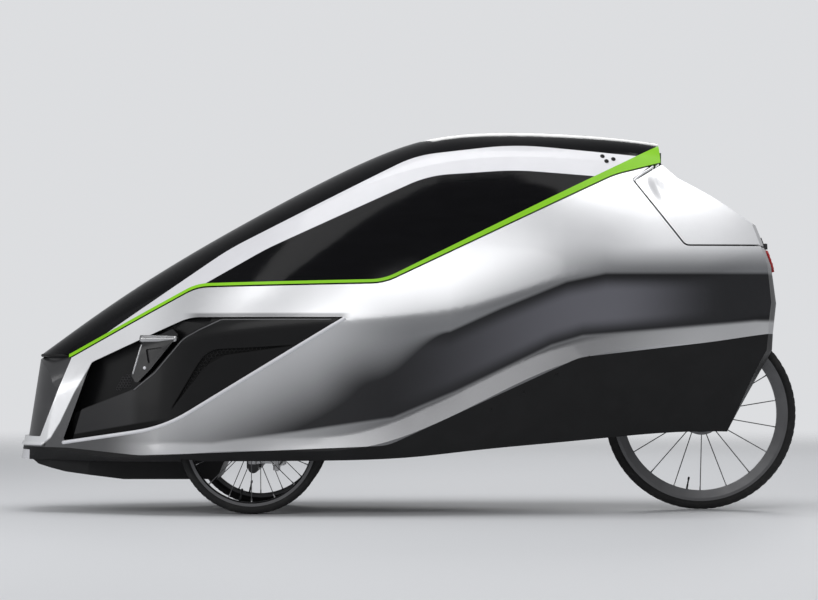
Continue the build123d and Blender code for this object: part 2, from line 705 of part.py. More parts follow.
LID_HINGE_Y = 45
with BuildPart() as lid_hinge_base:
    for side in (-1, 1):
        for step in (-1, 1):
            lug_y = side * LID_HINGE_Y + step * (LEAF_W + LUG_W + 0.4) / 2
            with BuildSketch(Plane.XZ.offset(-lug_y)):
                with BuildLine():
                    Polyline((1120.6, 823), (1119.5, 832), (1120, 841), (1130, 841), (1131, 823), close=True)
                make_face()
            extrude(amount=LUG_W / 2, both=True)
        with BuildSketch(Plane.XZ.offset(-side * LID_HINGE_Y)):
            with Locations(LID_PIVOT):
                Circle(PIN_R)
        extrude(amount=LEAF_W / 2 + LUG_W, both=True)
save(lid_hinge_base.part, "lid_hinge_base")
with BuildPart() as lid_hinge_leaf:
    for side in (-1, 1):
        with BuildSketch(Plane.XZ.offset(-side * LID_HINGE_Y)):
            with Locations(LID_PIVOT):
                Circle(KNUCKLE_R)
            with BuildLine():
                Polyline((1115.8, 836), (1122, 836), (1113, 860), (1106.6, 860), close=True)
            make_face()
            with Locations(LID_PIVOT):
                Circle(PIN_R + FIT, mode=Mode.SUBTRACT)
        extrude(amount=LEAF_W / 2, both=True)
save(lid_hinge_leaf.part, "lid_hinge_leaf")

# Tail lamp on the rear face
with BuildPart() as tail_lamp:
    with BuildSketch(Plane.XZ):
        with BuildLine():
            Polyline((1120.8, 821), (1140.2, 770), (1143, 750), (1152, 752), (1148, 772), (1132, 818),
                     close=True)
        make_face()
    extrude(amount=70, both=True)
save(tail_lamp.part, "tail_lamp")

# Handlebar on its inclined column, carried by a base on the floor
COLUMN_FOOT = (-330, 185)
COLUMN_HEAD = (-170, 600)
column_dir = Vector(COLUMN_HEAD[0] - COLUMN_FOOT[0], 0, COLUMN_HEAD[1] - COLUMN_FOOT[1])
column_plane = Plane(origin=(COLUMN_FOOT[0], 0, COLUMN_FOOT[1]), x_dir=(0, 1, 0), z_dir=column_dir)
COLUMN_R = 14
BASE_L = 90
GRIP_R = 16
with BuildPart() as column_base:
    with BuildSketch(column_plane):
        Circle(26)
    extrude(amount=BASE_L)
    with BuildSketch(Plane.XY.offset(182.3)):
        with Locations((COLUMN_FOOT[0] + 10, 0)):
            RectangleRounded(130, 110, 12)
    extrude(amount=10)
    with BuildSketch(column_plane.offset(12)):
        Circle(COLUMN_R + FIT)
    extrude(amount=FAR, mode=Mode.SUBTRACT)
    with Locations((COLUMN_FOOT[0], 0, 182.3)):
        Box(400, 400, 200, align=(Align.CENTER, Align.CENTER, Align.MAX), mode=Mode.SUBTRACT)
save(column_base.part, "column_base")
with BuildPart() as handlebar:
    with BuildSketch(column_plane.offset(12.3)):
        Circle(COLUMN_R)
    extrude(amount=column_dir.length - 12.3)
    head = Vector(COLUMN_HEAD[0], 0, COLUMN_HEAD[1])
    with BuildLine(Plane.XY) as bar:
        FilletPolyline(
            head + Vector(70, -235, 10), head + Vector(30, -235, 14), head + Vector(0, -90, 0),
            head + Vector(0, 90, 0), head + Vector(30, 235, 14), head + Vector(70, 235, 10),
            radius=[18, 40, 40, 18],
        )
    with BuildSketch(Plane(origin=bar.line @ 0, z_dir=bar.line % 0)):
        Circle(11)
    sweep(path=bar.line)
    for side in (-1, 1):
        grip = Plane(origin=head + Vector(45, side * 235, 12.5), z_dir=(40, 0, -4))
        with BuildSketch(grip):
            Circle(GRIP_R)
        extrude(amount=110)
save(handlebar.part, "handlebar")

# Lamp pods standing on the back wall of the lamp bays
with BuildPart() as lamp_recess:
    add(glass_core)
    add(wall_core, mode=Mode.SUBTRACT)
    with BuildSketch(Plane.XZ):
        add(area(LAMP_RECESS))
    extrude(amount=HALF_SPAN, mode=Mode.INTERSECT)
with BuildPart() as lamp_pod:
    add(glass_core)
    with BuildSketch(Plane.XZ):
        add(area(LAMP_POD))
    extrude(amount=HALF_SPAN, mode=Mode.INTERSECT)
    add(beyond_bay_back(-0.3), mode=Mode.INTERSECT)
    add(lamp_recess.part, mode=Mode.SUBTRACT)
save(lamp_pod.part, "lamp_pod_left")
save(other_side(lamp_pod.part), "lamp_pod_right")
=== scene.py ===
# %% [markdown]
# # A streamlined electric tricycle
# The solids of the tricycle come in as a fixed frame, in metres: x runs to the rear, y to the right,
# z up. This lesson gives them their finishes, makes the soft and the small pieces, lights a plain
# studio and sets the camera square to the left side.

# %% Load the solids
from math import cos, pi, radians, sin, tan, tau

import bmesh
import bpy
from mathutils import Matrix, Vector


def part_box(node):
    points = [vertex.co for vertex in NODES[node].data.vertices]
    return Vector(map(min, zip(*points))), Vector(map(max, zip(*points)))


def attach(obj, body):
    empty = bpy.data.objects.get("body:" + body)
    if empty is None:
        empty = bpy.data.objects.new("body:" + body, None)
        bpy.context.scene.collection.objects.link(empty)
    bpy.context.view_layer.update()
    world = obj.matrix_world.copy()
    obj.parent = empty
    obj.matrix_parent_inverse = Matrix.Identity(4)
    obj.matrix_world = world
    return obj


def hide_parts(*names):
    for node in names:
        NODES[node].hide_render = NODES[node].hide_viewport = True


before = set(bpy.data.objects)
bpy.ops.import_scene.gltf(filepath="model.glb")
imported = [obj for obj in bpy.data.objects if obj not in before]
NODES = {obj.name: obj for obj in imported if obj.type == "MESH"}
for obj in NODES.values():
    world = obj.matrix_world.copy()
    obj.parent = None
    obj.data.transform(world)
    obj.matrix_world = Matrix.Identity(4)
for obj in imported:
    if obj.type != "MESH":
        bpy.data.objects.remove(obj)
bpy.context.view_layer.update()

SIDES = {"left": -1, "right": 1}

# %% [markdown]
# Finishes and repeated pieces are both made of nodes. One class holds a node tree and adds any node
# with its settings and inputs; another wraps a socket, so that sums on it add Math nodes. A formula
# for a mask can then be read as a formula.

# %% Node helpers
class Value:
    def __init__(self, graph, socket):
        self.graph = graph
        self.socket = socket

    def maths(self, operation, *values):
        return self.graph.node(self.graph.MATHS, {"operation": operation}, dict(enumerate(values)))

    def __add__(self, other):
        return self.maths("ADD", self, other)

    def __radd__(self, other):
        return self.maths("ADD", other, self)

    def __sub__(self, other):
        return self.maths("SUBTRACT", self, other)

    def __rsub__(self, other):
        return self.maths("SUBTRACT", other, self)

    def __mul__(self, other):
        return self.maths("MULTIPLY", self, other)

    def __rmul__(self, other):
        return self.maths("MULTIPLY", other, self)

    def __truediv__(self, other):
        return self.maths("DIVIDE", self, other)

    def __abs__(self):
        return self.maths("ABSOLUTE", self)

    def least(self, other):
        return self.maths("MINIMUM", self, other)

    def most(self, other):
        return self.maths("MAXIMUM", self, other)

    def wave(self):
        return self.maths("SINE", self)

    def rise(self, low, high):
        """0 below low, 1 above high, and a smooth step between them."""
        span = {"Value": self, "From Min": low, "From Max": high, "To Min": 0.0, "To Max": 1.0}
        return self.graph.node("ShaderNodeMapRange", {"interpolation_type": "SMOOTHSTEP"}, span)


class Graph:
    MATHS = "ShaderNodeMath"

    def __init__(self, tree):
        self.tree = tree

    def node(self, kind, settings=None, inputs=None, output=0):
        node = self.tree.nodes.new(kind)
        for key, setting in (settings or {}).items():
            setattr(node, key, setting)
        for key, value in (inputs or {}).items():
            self.feed(node.inputs[key], value)
        return Value(self, node.outputs[output])

    def feed(self, socket, value):
        if isinstance(value, Value):
            self.tree.links.new(value.socket, socket)
        else:
            socket.default_value = value

    def split(self, vector):
        node = self.tree.nodes.new("ShaderNodeSeparateXYZ")
        self.feed(node.inputs[0], vector)
        return [Value(self, out) for out in node.outputs]


# %% [markdown]
# A finish is one material around one Principled shader. What is the same all over is set on the
# shader's own sockets. What changes over the surface reads the Object coordinates, so the pattern
# stays on the piece when a joint moves it.

# %% A finish
class Finish(Graph):
    """A material around one Principled shader."""

    def __init__(self, name, **constants):
        self.material = bpy.data.materials.new(name)
        self.material.use_nodes = True
        super().__init__(self.material.node_tree)
        self.shader = self.tree.nodes["Principled BSDF"]
        self.place = self.node("ShaderNodeTexCoord", output="Object")
        self.surface({key.replace("_", " "): value for key, value in constants.items()})

    def surface(self, inputs):
        for key, value in inputs.items():
            self.feed(self.shader.inputs[key], value)

    def noise(self, scale, detail=2.0, roughness=0.5):
        sizes = {"Vector": self.place, "Scale": scale, "Detail": detail, "Roughness": roughness}
        return self.node("ShaderNodeTexNoise", {}, sizes)

    def streaks(self, stretch, scale, detail):
        """Noise that is drawn out along one way."""
        drawn = self.node("ShaderNodeMapping", {}, {"Vector": self.place, "Scale": stretch})
        return self.node("ShaderNodeTexNoise", {}, {"Vector": drawn, "Scale": scale, "Detail": detail})

    def cells(self, scale):
        return self.node("ShaderNodeTexVoronoi", {}, {"Vector": self.place, "Scale": scale}, "Distance")

    def mix(self, share, first, second):
        return self.node("ShaderNodeMix", {"data_type": "RGBA"}, {0: share, 6: first, 7: second}, 2)

    def bump(self, height, distance):
        relief = {"Strength": 1.0, "Distance": distance, "Height": height}
        self.surface({"Normal": self.node("ShaderNodeBump", {}, relief)})


# %% [markdown]
# The silver paint is the main finish: fine metal flake under a clear coat. Its own tone is pearl, as on
# the shoulder. Light and shade are painted into it as further tones. A painted highlight makes it chalk
# white at the nose and on the boot lid, and painted shade darkens it to graphite over the front wheel.
# From there the painted shade runs to the tail as a band between the shoulder crease and the lip above
# the hem, with a painted lavender reflection in its middle. Painted shade also greys the shoulder near
# the crease, the hem and a strip over the side inset, and darkens the side face of each nose pillar. An
# image could carry these tones, but their edges are lines in the side view, so each mask is a product
# of ramps on the object coordinates, which stays sharp at any distance.

# %% Tones and lines of the silver paint
# The pearl is the paint's own tone. The chalk white is a painted highlight, the silver, steel and graphite
# are painted shade, and the lavender is a painted reflection.
CHALK_HIGHLIGHT = (0.88, 0.885, 0.90, 1)
PEARL = (0.70, 0.705, 0.72, 1)
SILVER_SHADE = (0.21, 0.214, 0.222, 1)
STEEL_SHADE = (0.110, 0.111, 0.116, 1)
LAVENDER_REFLECTION = (0.155, 0.154, 0.175, 1)
GRAPHITE_SHADE = (0.012, 0.012, 0.014, 1)
FLAKE = (0.85, 0.85, 0.87, 1)

# Lines in the side view: (x, z) in metres, from front to rear.
SHOULDER_LINE = [(-0.03, 0.545), (0.125, 0.567), (0.28, 0.637), (0.48, 0.718), (0.60, 0.744), (1.10, 0.746)]
LIP_LINE = [(-0.60, 0.214), (-0.33, 0.250), (-0.05, 0.291), (0.145, 0.373), (0.434, 0.512), (0.531, 0.541),
            (1.07, 0.588)]
PILLAR_LINE = [(-1.148, 0.2136), (-1.1165, 0.2385), (-1.0854, 0.2882), (-1.0387, 0.3815), (-0.983, 0.4717)]
# Heights of the painted shadow line on the brow over the side inset, and the foot of the painted highlight on
# the lid.
BROW_FOOT, BROW_TOP = 0.601, 0.623
LID_FOOT = 0.79


def bent_line(x, points):
    """The height of a line through (x, z) points, as a formula on x."""
    (x0, z0), rest = points[0], points[1:]
    height = z0
    for x1, z1 in rest:
        share = ((x - x0) / (x1 - x0)).most(0.0).least(1.0)
        height = height + share * (z1 - z0)
        x0, z0 = x1, z1
    return height


print("lines of", len(SHOULDER_LINE), len(LIP_LINE), "and", len(PILLAR_LINE), "points")

# %% Silver paint
def silver_paint():
    """Each rise blends a mask in between two places, in metres."""
    paint = Finish("silver_paint", Coat_Roughness=0.06)
    x, _, z = paint.split(paint.place)
    shoulder = bent_line(x, SHOULDER_LINE)
    lip = bent_line(x, LIP_LINE)
    above = (z - lip).rise(0.000, 0.016)
    behind = x.rise(-0.30, 0.03)

    # Painted shade falls off evenly over the front wheel, and is a band under the crease behind it.
    fall = 1.0 - (z - 0.49 * x).rise(0.34, 0.74)
    soft = 0.016 + 0.150 * (1.0 - x.rise(-0.10, 0.12))
    band = ((shoulder - z + 0.004) / soft).rise(0.0, 1.0) * (0.94 + 0.06 * (z - lip).rise(0.02, 0.16))
    dark = above * ((behind * band + (1.0 - behind) * fall) * 1.15).least(1.0)
    # A painted reflection lightens the middle of the shaded band to lavender.
    painted_reflection = x.rise(-0.10, 0.60) * (1.0 - x.rise(0.62, 0.98))
    painted_reflection = painted_reflection * (shoulder - z).rise(0.008, 0.060) * (z - lip).rise(0.010, 0.060)

    # Painted shade makes the hem below the lip steel grey, and a painted shadow line makes the brow over the
    # side inset steel grey.
    hem = (1.0 - above) * (0.50 + 0.50 * x.rise(-0.40, 0.05)) * x.rise(-0.75, -0.45)
    hem = hem * (1.0 - 0.85 * x.rise(0.45, 0.95))
    brow_shadow = (BROW_TOP - z).rise(0.0, 0.008) * (z - BROW_FOOT).rise(0.0, 0.004)
    brow_shadow = brow_shadow * x.rise(-0.70, -0.64) * (1.0 - x.rise(-0.21, -0.17))

    # Painted shade makes the shoulder silver near the crease and the side face of the nose pillar dark, and
    # a painted highlight makes the front of the shoulder and the lid chalk white.
    depth = 0.20 - 0.12 * x.rise(0.30, 0.70)
    near = 1.0 - ((z - shoulder) / depth).rise(0.0, 1.0)
    # Painted shade on the side face of the nose pillar.
    pillar_shade = (bent_line(x, PILLAR_LINE) - z).rise(0.0, 0.010) * (1.0 - x.rise(-0.95, -0.60))
    # Painted highlight at the front of the shoulder and on the lid.
    painted_highlight = (1.0 - x.rise(-0.85, -0.65)).most(x.rise(0.60, 0.80) * (z - LID_FOOT).rise(0.0, 0.05))

    upper = paint.mix(near * behind * above, paint.mix(painted_highlight, PEARL, CHALK_HIGHLIGHT), SILVER_SHADE)
    lit = paint.mix(hem.most(brow_shadow * 0.75), upper, STEEL_SHADE)
    shaded = paint.mix(pillar_shade * 0.93, lit, GRAPHITE_SHADE)
    tone = paint.mix(dark * 0.98, shaded, paint.mix(painted_reflection, GRAPHITE_SHADE, LAVENDER_REFLECTION))
    cloud = paint.noise(9.0, 3.0)
    flake = paint.cells(1400.0)
    # Under painted shade the flake and the clear coat are weaker; under the painted highlight the paint has
    # less metal.
    paint.surface({
        "Base Color": paint.mix(flake * (0.12 - 0.10 * dark.most(pillar_shade)), tone, FLAKE),
        "Roughness": 0.27 + cloud * 0.06 + flake * 0.05,
        "Metallic": 0.70 - 0.32 * painted_highlight,
        "Coat Weight": 0.45 - 0.38 * dark,
    })
    paint.bump(paint.noise(260.0, 1.0), 0.00006)
    return paint.material


FINISHES = {"body_paint": silver_paint()}
print("silver paint of", len(FINISHES["body_paint"].node_tree.nodes), "nodes")

# %% [markdown]
# The black recess in each flank is a satin moulding of its own. Ahead of its bend the fender panel is
# painted greyer as a painted highlight on that face, and the foot of the panel and the air slit are
# painted nearly black as painted shade, because no light gets in. The solid has the real hollows; the
# tones only deepen them.

# %% Side inset
LEDGE_LINE = [(-1.05, 0.309), (-0.846, 0.386)]
FOOT_LINE = [(-1.05, 0.243), (-0.72, 0.301)]
SLIT_TOP_LINE = [(-0.726, 0.330), (-0.645, 0.466), (-0.590, 0.507), (-0.352, 0.523)]
SLIT_LOW_LINE = [(-0.726, 0.322), (-0.625, 0.455), (-0.560, 0.490), (-0.352, 0.519)]


def inset_black():
    finish = Finish("gloss_black", Coat_Weight=0.06, Coat_Roughness=0.08, Specular_IOR_Level=0.2)
    x, _, z = finish.split(finish.place)
    # Painted highlight: the fender panel ahead of its bend is a lighter grey.
    panel = (1.0 - x.rise(-0.862, -0.822)) * x.rise(-1.055, -1.045)
    panel = panel * (bent_line(x, LEDGE_LINE) - z).rise(0.0, 0.003)
    # Painted shade: the foot of the panel and the air slit are nearly black.
    foot = (bent_line(x, FOOT_LINE) - z).rise(-0.003, 0.003) * (1.0 - x.rise(-0.80, -0.70))
    slit = (bent_line(x, SLIT_TOP_LINE) - z).rise(-0.003, 0.001)
    slit = slit * (z - bent_line(x, SLIT_LOW_LINE)).rise(-0.003, 0.001)
    slit = slit * x.rise(-0.728, -0.722) * (1.0 - x.rise(-0.356, -0.350))
    hollow = foot.most(slit)
    mottled = finish.mix(finish.noise(14.0, 4.0), (0.005, 0.005, 0.0055, 1), (0.008, 0.008, 0.0085, 1))
    tone = finish.mix(panel * (1.0 - foot), mottled, (0.022, 0.022, 0.0235, 1))
    finish.surface({
        "Base Color": finish.mix(hollow, tone, (0.0015, 0.0015, 0.0016, 1)),
        "Roughness": 0.28 + 0.05 * finish.noise(35.0, 3.0) + 0.5 * hollow,
    })
    finish.bump(finish.cells(300.0), 0.00002)
    return finish.material


FINISHES["gloss_black"] = inset_black()
print("side inset of", len(FINISHES["gloss_black"].node_tree.nodes), "nodes")

# %% [markdown]
# The other mouldings differ only in colour, gloss and grain: a leather-like grain on the black lower
# shell, a felt on the lining, a clear coat on the trim and the lamp lens. One function makes them all
# from a table.

# %% Mouldings
def moulding(name, colour, roughness, grain, depth, coat, mottle, shine):
    finish = Finish(name, Coat_Weight=coat, Coat_Roughness=0.08, Specular_IOR_Level=shine)
    pale = tuple(min(1.0, c * (1 + mottle)) for c in colour[:3]) + (1,)
    finish.surface({
        "Base Color": finish.mix(finish.noise(14.0, 4.0).rise(0.35, 0.75), colour, pale),
        "Roughness": roughness - 0.03 + 0.06 * finish.noise(35.0, 3.0),
    })
    finish.bump(finish.cells(grain), depth)
    return finish.material


# Columns: colour, roughness, grains a metre, grain depth in metres, coat, mottle, shine.
MOULDINGS = {
    "matte_black": ((0.008, 0.008, 0.0085, 1), 0.46, 620.0, 0.00012, 0.0, 0.3, 0.2),
    "dark_panel": ((0.040, 0.040, 0.042, 1), 0.30, 500.0, 0.00003, 0.25, 0.3, 0.5),
    "white_trim": ((0.66, 0.66, 0.69, 1), 0.24, 280.0, 0.00003, 0.4, 0.04, 0.5),
    "green_trim": ((0.23, 0.56, 0.012, 1), 0.36, 280.0, 0.00003, 0.06, 0.05, 0.2),
    "grey_lining": ((0.20, 0.20, 0.21, 1), 0.85, 1500.0, 0.0003, 0.0, 0.3, 0.5),
    "battery_case": ((0.05, 0.05, 0.055, 1), 0.5, 700.0, 0.00012, 0.0, 0.3, 0.5),
    "lamp_lens": ((0.42, 0.006, 0.006, 1), 0.1, 180.0, 0.00002, 0.6, 0.3, 0.5),
    "lamp_housing": ((0.014, 0.014, 0.015, 1), 0.32, 500.0, 0.00003, 0.1, 0.3, 0.3),
}
FINISHES.update({name: moulding(name, *row) for name, row in MOULDINGS.items()})
print(len(MOULDINGS), "mouldings")

# %% [markdown]
# The glass is smoked so dark that the seat only just shows. Real refraction through two panes would
# be slow and noisy, so the pane is a dark gloss that lets a tenth of the light through, and faint level
# wiping marks vary its tone and its gloss.

# %% Smoked glass
def smoked_glass():
    glass = Finish("smoked_glass", IOR=1.5, Alpha=0.90, Specular_IOR_Level=0.13)
    streak = glass.streaks((3.0, 3.0, 22.0), 4.0, 4.0)
    glass.surface({
        "Base Color": glass.mix(streak, (0.0015, 0.0015, 0.002, 1), (0.004, 0.004, 0.005, 1)),
        "Roughness": 0.05 + 0.07 * streak,
    })
    return glass.material


FINISHES["smoked_glass"] = smoked_glass()
print("smoked glass made")

# %% [markdown]
# Bare metal shows how it was worked: cast speckle on the wheels, dull paint on the chassis, a brushed
# line on the bright steel. One noise gives all three: left as it is, it speckles, and stretched, it
# draws lines.

# %% Metals
def metal(name, colour, roughness, stretch, scale, depth, metallic):
    finish = Finish(name, Metallic=metallic)
    grain = finish.streaks(stretch, scale, 3.0)
    dull = tuple(c * 0.72 for c in colour[:3]) + (1,)
    finish.surface({
        "Base Color": finish.mix(finish.noise(22.0, 3.0), dull, colour),
        "Roughness": roughness - 0.06 + 0.14 * grain,
    })
    finish.bump(grain, depth)
    return finish.material


# Columns: colour, roughness, stretch, noise scale, grain depth in metres, metallic.
METALS = {
    "wheel_alloy": ((0.17, 0.17, 0.175, 1), 0.38, (1, 1, 1), 700.0, 0.00004, 1.0),
    "chassis_steel": ((0.045, 0.045, 0.048, 1), 0.42, (1, 1, 1), 420.0, 0.00006, 0.25),
    "bright_steel": ((0.55, 0.55, 0.56, 1), 0.26, (1, 30, 30), 40.0, 0.00002, 1.0),
}
FINISHES.update({name: metal(name, *row) for name, row in METALS.items()})
print(len(METALS), "metals")

# %% [markdown]
# Tyre rubber is dark and dull, with road dust in patches. The seat has a knitted cover: rows of loops
# from two crossed waves, with a soft sheen. With these two, every solid gets its finish by the name
# of its slot.

# %% Rubber and seat cloth
LOOPS_ACROSS, LOOPS_UP = 1500.0, 900.0


def rubber():
    finish = Finish("tyre_rubber", Specular_IOR_Level=0.35)
    dust = finish.noise(26.0, 5.0, 0.65)
    finish.surface({
        "Base Color": finish.mix(dust.rise(0.45, 0.8), (0.012, 0.012, 0.0125, 1), (0.034, 0.033, 0.032, 1)),
        "Roughness": 0.62 + 0.25 * dust,
    })
    finish.bump(finish.noise(900.0, 2.0), 0.00012)
    return finish.material


def seat_cloth():
    cloth = Finish("seat_fabric", Sheen_Weight=0.35, Sheen_Roughness=0.5)
    x, y, z = cloth.split(cloth.place)
    weave = (y * LOOPS_ACROSS + (z * LOOPS_UP).wave() * 0.8).wave()
    loop = weave * (z * LOOPS_UP + x * LOOPS_UP).wave()
    fleck = cloth.noise(420.0, 2.0)
    shade = (loop * 0.5 + 0.5) * 0.6 + fleck * 0.4
    cloth.surface({
        "Base Color": cloth.mix(shade, (0.018, 0.018, 0.020, 1), (0.062, 0.063, 0.068, 1)),
        "Roughness": 0.88 - 0.1 * fleck,
    })
    cloth.bump(loop, 0.0006)
    return cloth.material


FINISHES["tyre_rubber"] = rubber()
FINISHES["seat_fabric"] = seat_cloth()
for node in NODES.values():
    for slot in node.material_slots:
        slot.material = FINISHES[slot.material.name.split(".")[0]]
print(len(FINISHES), "finishes on", len(NODES), "solids")

# %% [markdown]
# New pieces are finished the same way each time: the mesh sits in the object's own frame, takes a
# finish, and rides on one of the bodies, so that it moves with a joint. A mesh made from given points
# has its doubled points merged and its faces turned outwards first.

# %% Putting a piece on its body
MERGE = 1e-6
SOLID_MERGE = 1e-5


def piece(name, mesh, slot, body):
    thing = bpy.data.objects.new(name, mesh)
    bpy.context.scene.collection.objects.link(thing)
    mesh.materials.clear()
    mesh.materials.append(FINISHES[slot])
    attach(thing, body)
    return thing


def smoothed(mesh):
    mesh.polygons.foreach_set("use_smooth", [True] * len(mesh.polygons))
    return mesh


def mended(mesh):
    """Points that meet are joined, and every face looks outwards."""
    shape = bmesh.new()
    shape.from_mesh(mesh)
    bmesh.ops.remove_doubles(shape, verts=shape.verts, dist=MERGE)
    bmesh.ops.recalc_face_normals(shape, faces=shape.faces)
    shape.to_mesh(mesh)
    shape.free()
    return smoothed(mesh)


def joined(mesh):
    """The loose triangles of a solid's mesh as one shell, to work on."""
    shape = bmesh.new()
    shape.from_mesh(mesh)
    bmesh.ops.remove_doubles(shape, verts=shape.verts, dist=SOLID_MERGE)
    return shape


def mesh_of(name, vertices, faces):
    mesh = bpy.data.meshes.new(name)
    mesh.from_pydata(vertices, [], faces)
    return mended(mesh)


def scratch(name, data):
    """An object that only lends its shape and is dropped afterwards."""
    thing = bpy.data.objects.new(name, data)
    bpy.context.scene.collection.objects.link(thing)
    return thing


def drop(*things):
    for thing in things:
        bpy.data.objects.remove(thing)


def baked(thing):
    """The plain mesh that an object's modifiers or its curve give."""
    bpy.context.view_layer.update()
    return bpy.data.meshes.new_from_object(thing.evaluated_get(bpy.context.evaluated_depsgraph_get()))


# %% [markdown]
# What repeats, or follows a path, is grown by Geometry Nodes. One class makes a tree with named inputs
# for its sizes, runs it once on a carrier object and keeps the result as a plain mesh, with every
# instance made real.

# %% Geometry Nodes helpers
class Growth(Graph):
    """A Geometry Nodes tree with named inputs, run once on a carrier object."""

    def __init__(self, name, **sizes):
        super().__init__(bpy.data.node_groups.new(name, "GeometryNodeTree"))
        self.tree.interface.new_socket("Geometry", in_out="OUTPUT", socket_type="NodeSocketGeometry")
        self.sizes = {}
        self.ways = self.tree.nodes.new("NodeGroupInput")
        for key, value in sizes.items():
            if isinstance(value, bpy.types.Object):
                kind = "NodeSocketObject"
            elif isinstance(value, int):
                kind = "NodeSocketInt"
            else:
                kind = "NodeSocketFloat"
            socket = self.tree.interface.new_socket(key, in_out="INPUT", socket_type=kind)
            self.sizes[socket.identifier] = value
        self.names = {s.name: s for s in self.ways.outputs if s.name}

    def size(self, name):
        return Value(self, self.names[name])

    def shape_of(self, name):
        source = {"Object": self.size(name)}
        return self.node("GeometryNodeObjectInfo", {"transform_space": "RELATIVE"}, source, "Geometry")

    def grow(self, geometry, finish, name):
        real = self.node("GeometryNodeRealizeInstances", {}, {"Geometry": geometry})
        dressed = self.node("GeometryNodeSetMaterial", {}, {"Geometry": real, "Material": finish})
        self.feed(self.tree.nodes.new("NodeGroupOutput").inputs[0], dressed)
        carrier = scratch(name, bpy.data.meshes.new(name))
        modifier = carrier.modifiers.new("growth", "NODES")
        modifier.node_group = self.tree
        for identifier, value in self.sizes.items():
            modifier[identifier] = value
        mesh = baked(carrier)
        drop(carrier)
        return mesh


# %% [markdown]
# The tyres are narrow road tyres. The carcass is a section swept round the wheel, and its tread is a
# rule: slanted grooves at an even pitch that fade out at the shoulder. Geometry Nodes sweep a section
# curve round a circle and push the groove points inwards; the crown keeps the solid's radius.

# %% Tyre section
AXLE = {
    "front_left": Vector((-0.485, -0.270, 0.224)),
    "front_right": Vector((-0.485, 0.270, 0.224)),
    "rear": Vector((0.925, 0.0, 0.3035)),
}
# Columns: outer radius, radius of the bead's seat on the rim, width.
TYRE = {
    "front_left": (0.224, 0.200, 0.032),
    "front_right": (0.224, 0.200, 0.032),
    "rear": (0.3035, 0.277, 0.037),
}
BEAD_DEPTH = 0.006
CROWN_STEPS = 14


def tyre_section(radius, seat, width):
    """The section of a tyre, as (radius, width) pairs: bead, bulged wall and crown, other bead."""
    bead = [(seat - BEAD_DEPTH, 0.38 * width - 0.002), (seat, 0.39 * width),
            (seat + BEAD_DEPTH / 2, 0.40 * width)]
    wall = seat + BEAD_DEPTH
    crown = []
    for step in range(CROWN_STEPS + 1):
        turn = pi * step / CROWN_STEPS
        crown.append((wall + (radius - wall) * sin(turn) ** 0.75, width / 2 * cos(turn)))
    return bead + crown + [(out, -across) for out, across in reversed(bead)]


def closed_curve(name, points):
    data = bpy.data.curves.new(name, "CURVE")
    data.dimensions = "3D"
    spline = data.splines.new("POLY")
    spline.points.add(len(points) - 1)
    for target, point in zip(spline.points, points):
        target.co = (*point, 1)
    spline.use_cyclic_u = True
    return scratch(name, data)


print("tyre radii", {name: row[0] for name, row in TYRE.items()})

# %% Tyres with a grooved tread
TREAD_STEPS = 432
TREAD_GROOVES = 72.0
GROOVE_DEPTH = 0.0011
GROOVE_SLANT = 9.0
TREAD_REACH = 0.012
UPRIGHT = Matrix.Rotation(radians(90), 4, "X")


def tread_tyre(name):
    radius, seat, width = TYRE[name]
    section = closed_curve("section", [(out - radius, across, 0) for out, across in
                                       tyre_section(radius, seat, width)])
    tree = Growth("tread_" + name, Section=section, Radius=radius, Steps=TREAD_STEPS,
                  Grooves=TREAD_GROOVES, Depth=GROOVE_DEPTH)
    path = tree.node("GeometryNodeCurvePrimitiveCircle", {"mode": "RADIUS"},
                     {"Resolution": tree.size("Steps"), "Radius": tree.size("Radius")})
    profile = tree.shape_of("Section")
    swept = tree.node("GeometryNodeCurveToMesh", {}, {"Curve": path, "Profile Curve": profile})
    x, y, z = tree.split(tree.node("GeometryNodeInputPosition"))
    angle = y.maths("ARCTAN2", y, x)
    spread = x * x + y * y
    out = spread.maths("SQRT", spread)
    across = abs(z) / width
    slant = (angle * tree.size("Grooves") + across * GROOVE_SLANT).wave()
    groove = slant.rise(0.45, 0.75) * across.rise(0.05, 0.12) * (1.0 - across.rise(0.34, 0.42))
    centre = 1.0 - across.rise(0.02, 0.05)
    tread = groove.most(centre * 0.7) * (out - tree.size("Radius") + TREAD_REACH).rise(0.0, 0.004)
    sink = tree.size("Depth") * tread * -1.0
    flat = tree.node("ShaderNodeCombineXYZ", {}, {"X": x, "Y": y, "Z": 0.0})
    away = tree.node("ShaderNodeVectorMath", {"operation": "NORMALIZE"}, {0: flat})
    push = tree.node("ShaderNodeVectorMath", {"operation": "SCALE"}, {0: away, "Scale": sink})
    moved = tree.node("GeometryNodeSetPosition", {}, {"Geometry": swept, "Offset": push})
    mesh = tree.grow(moved, FINISHES["tyre_rubber"], name + "_tread")
    drop(section)
    mesh.transform(Matrix.Translation(AXLE[name]) @ UPRIGHT)
    tyre = piece(name + "_tread", mended(mesh), "tyre_rubber", name)
    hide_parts(name + "_tyre")
    return tyre


for wheel in AXLE:
    tyre = tread_tyre(wheel)
    print(tyre.name, len(tyre.data.polygons), "faces")

# %% [markdown]
# Each spoke ends in a nipple at the rim, and the valve stands between two of them. A ring of points
# carries a small turned part; the tree turns each copy to face the hub. Copies set by hand would do
# too, but the tree has the count and the radius as inputs, so one tree fits both sizes of wheel.

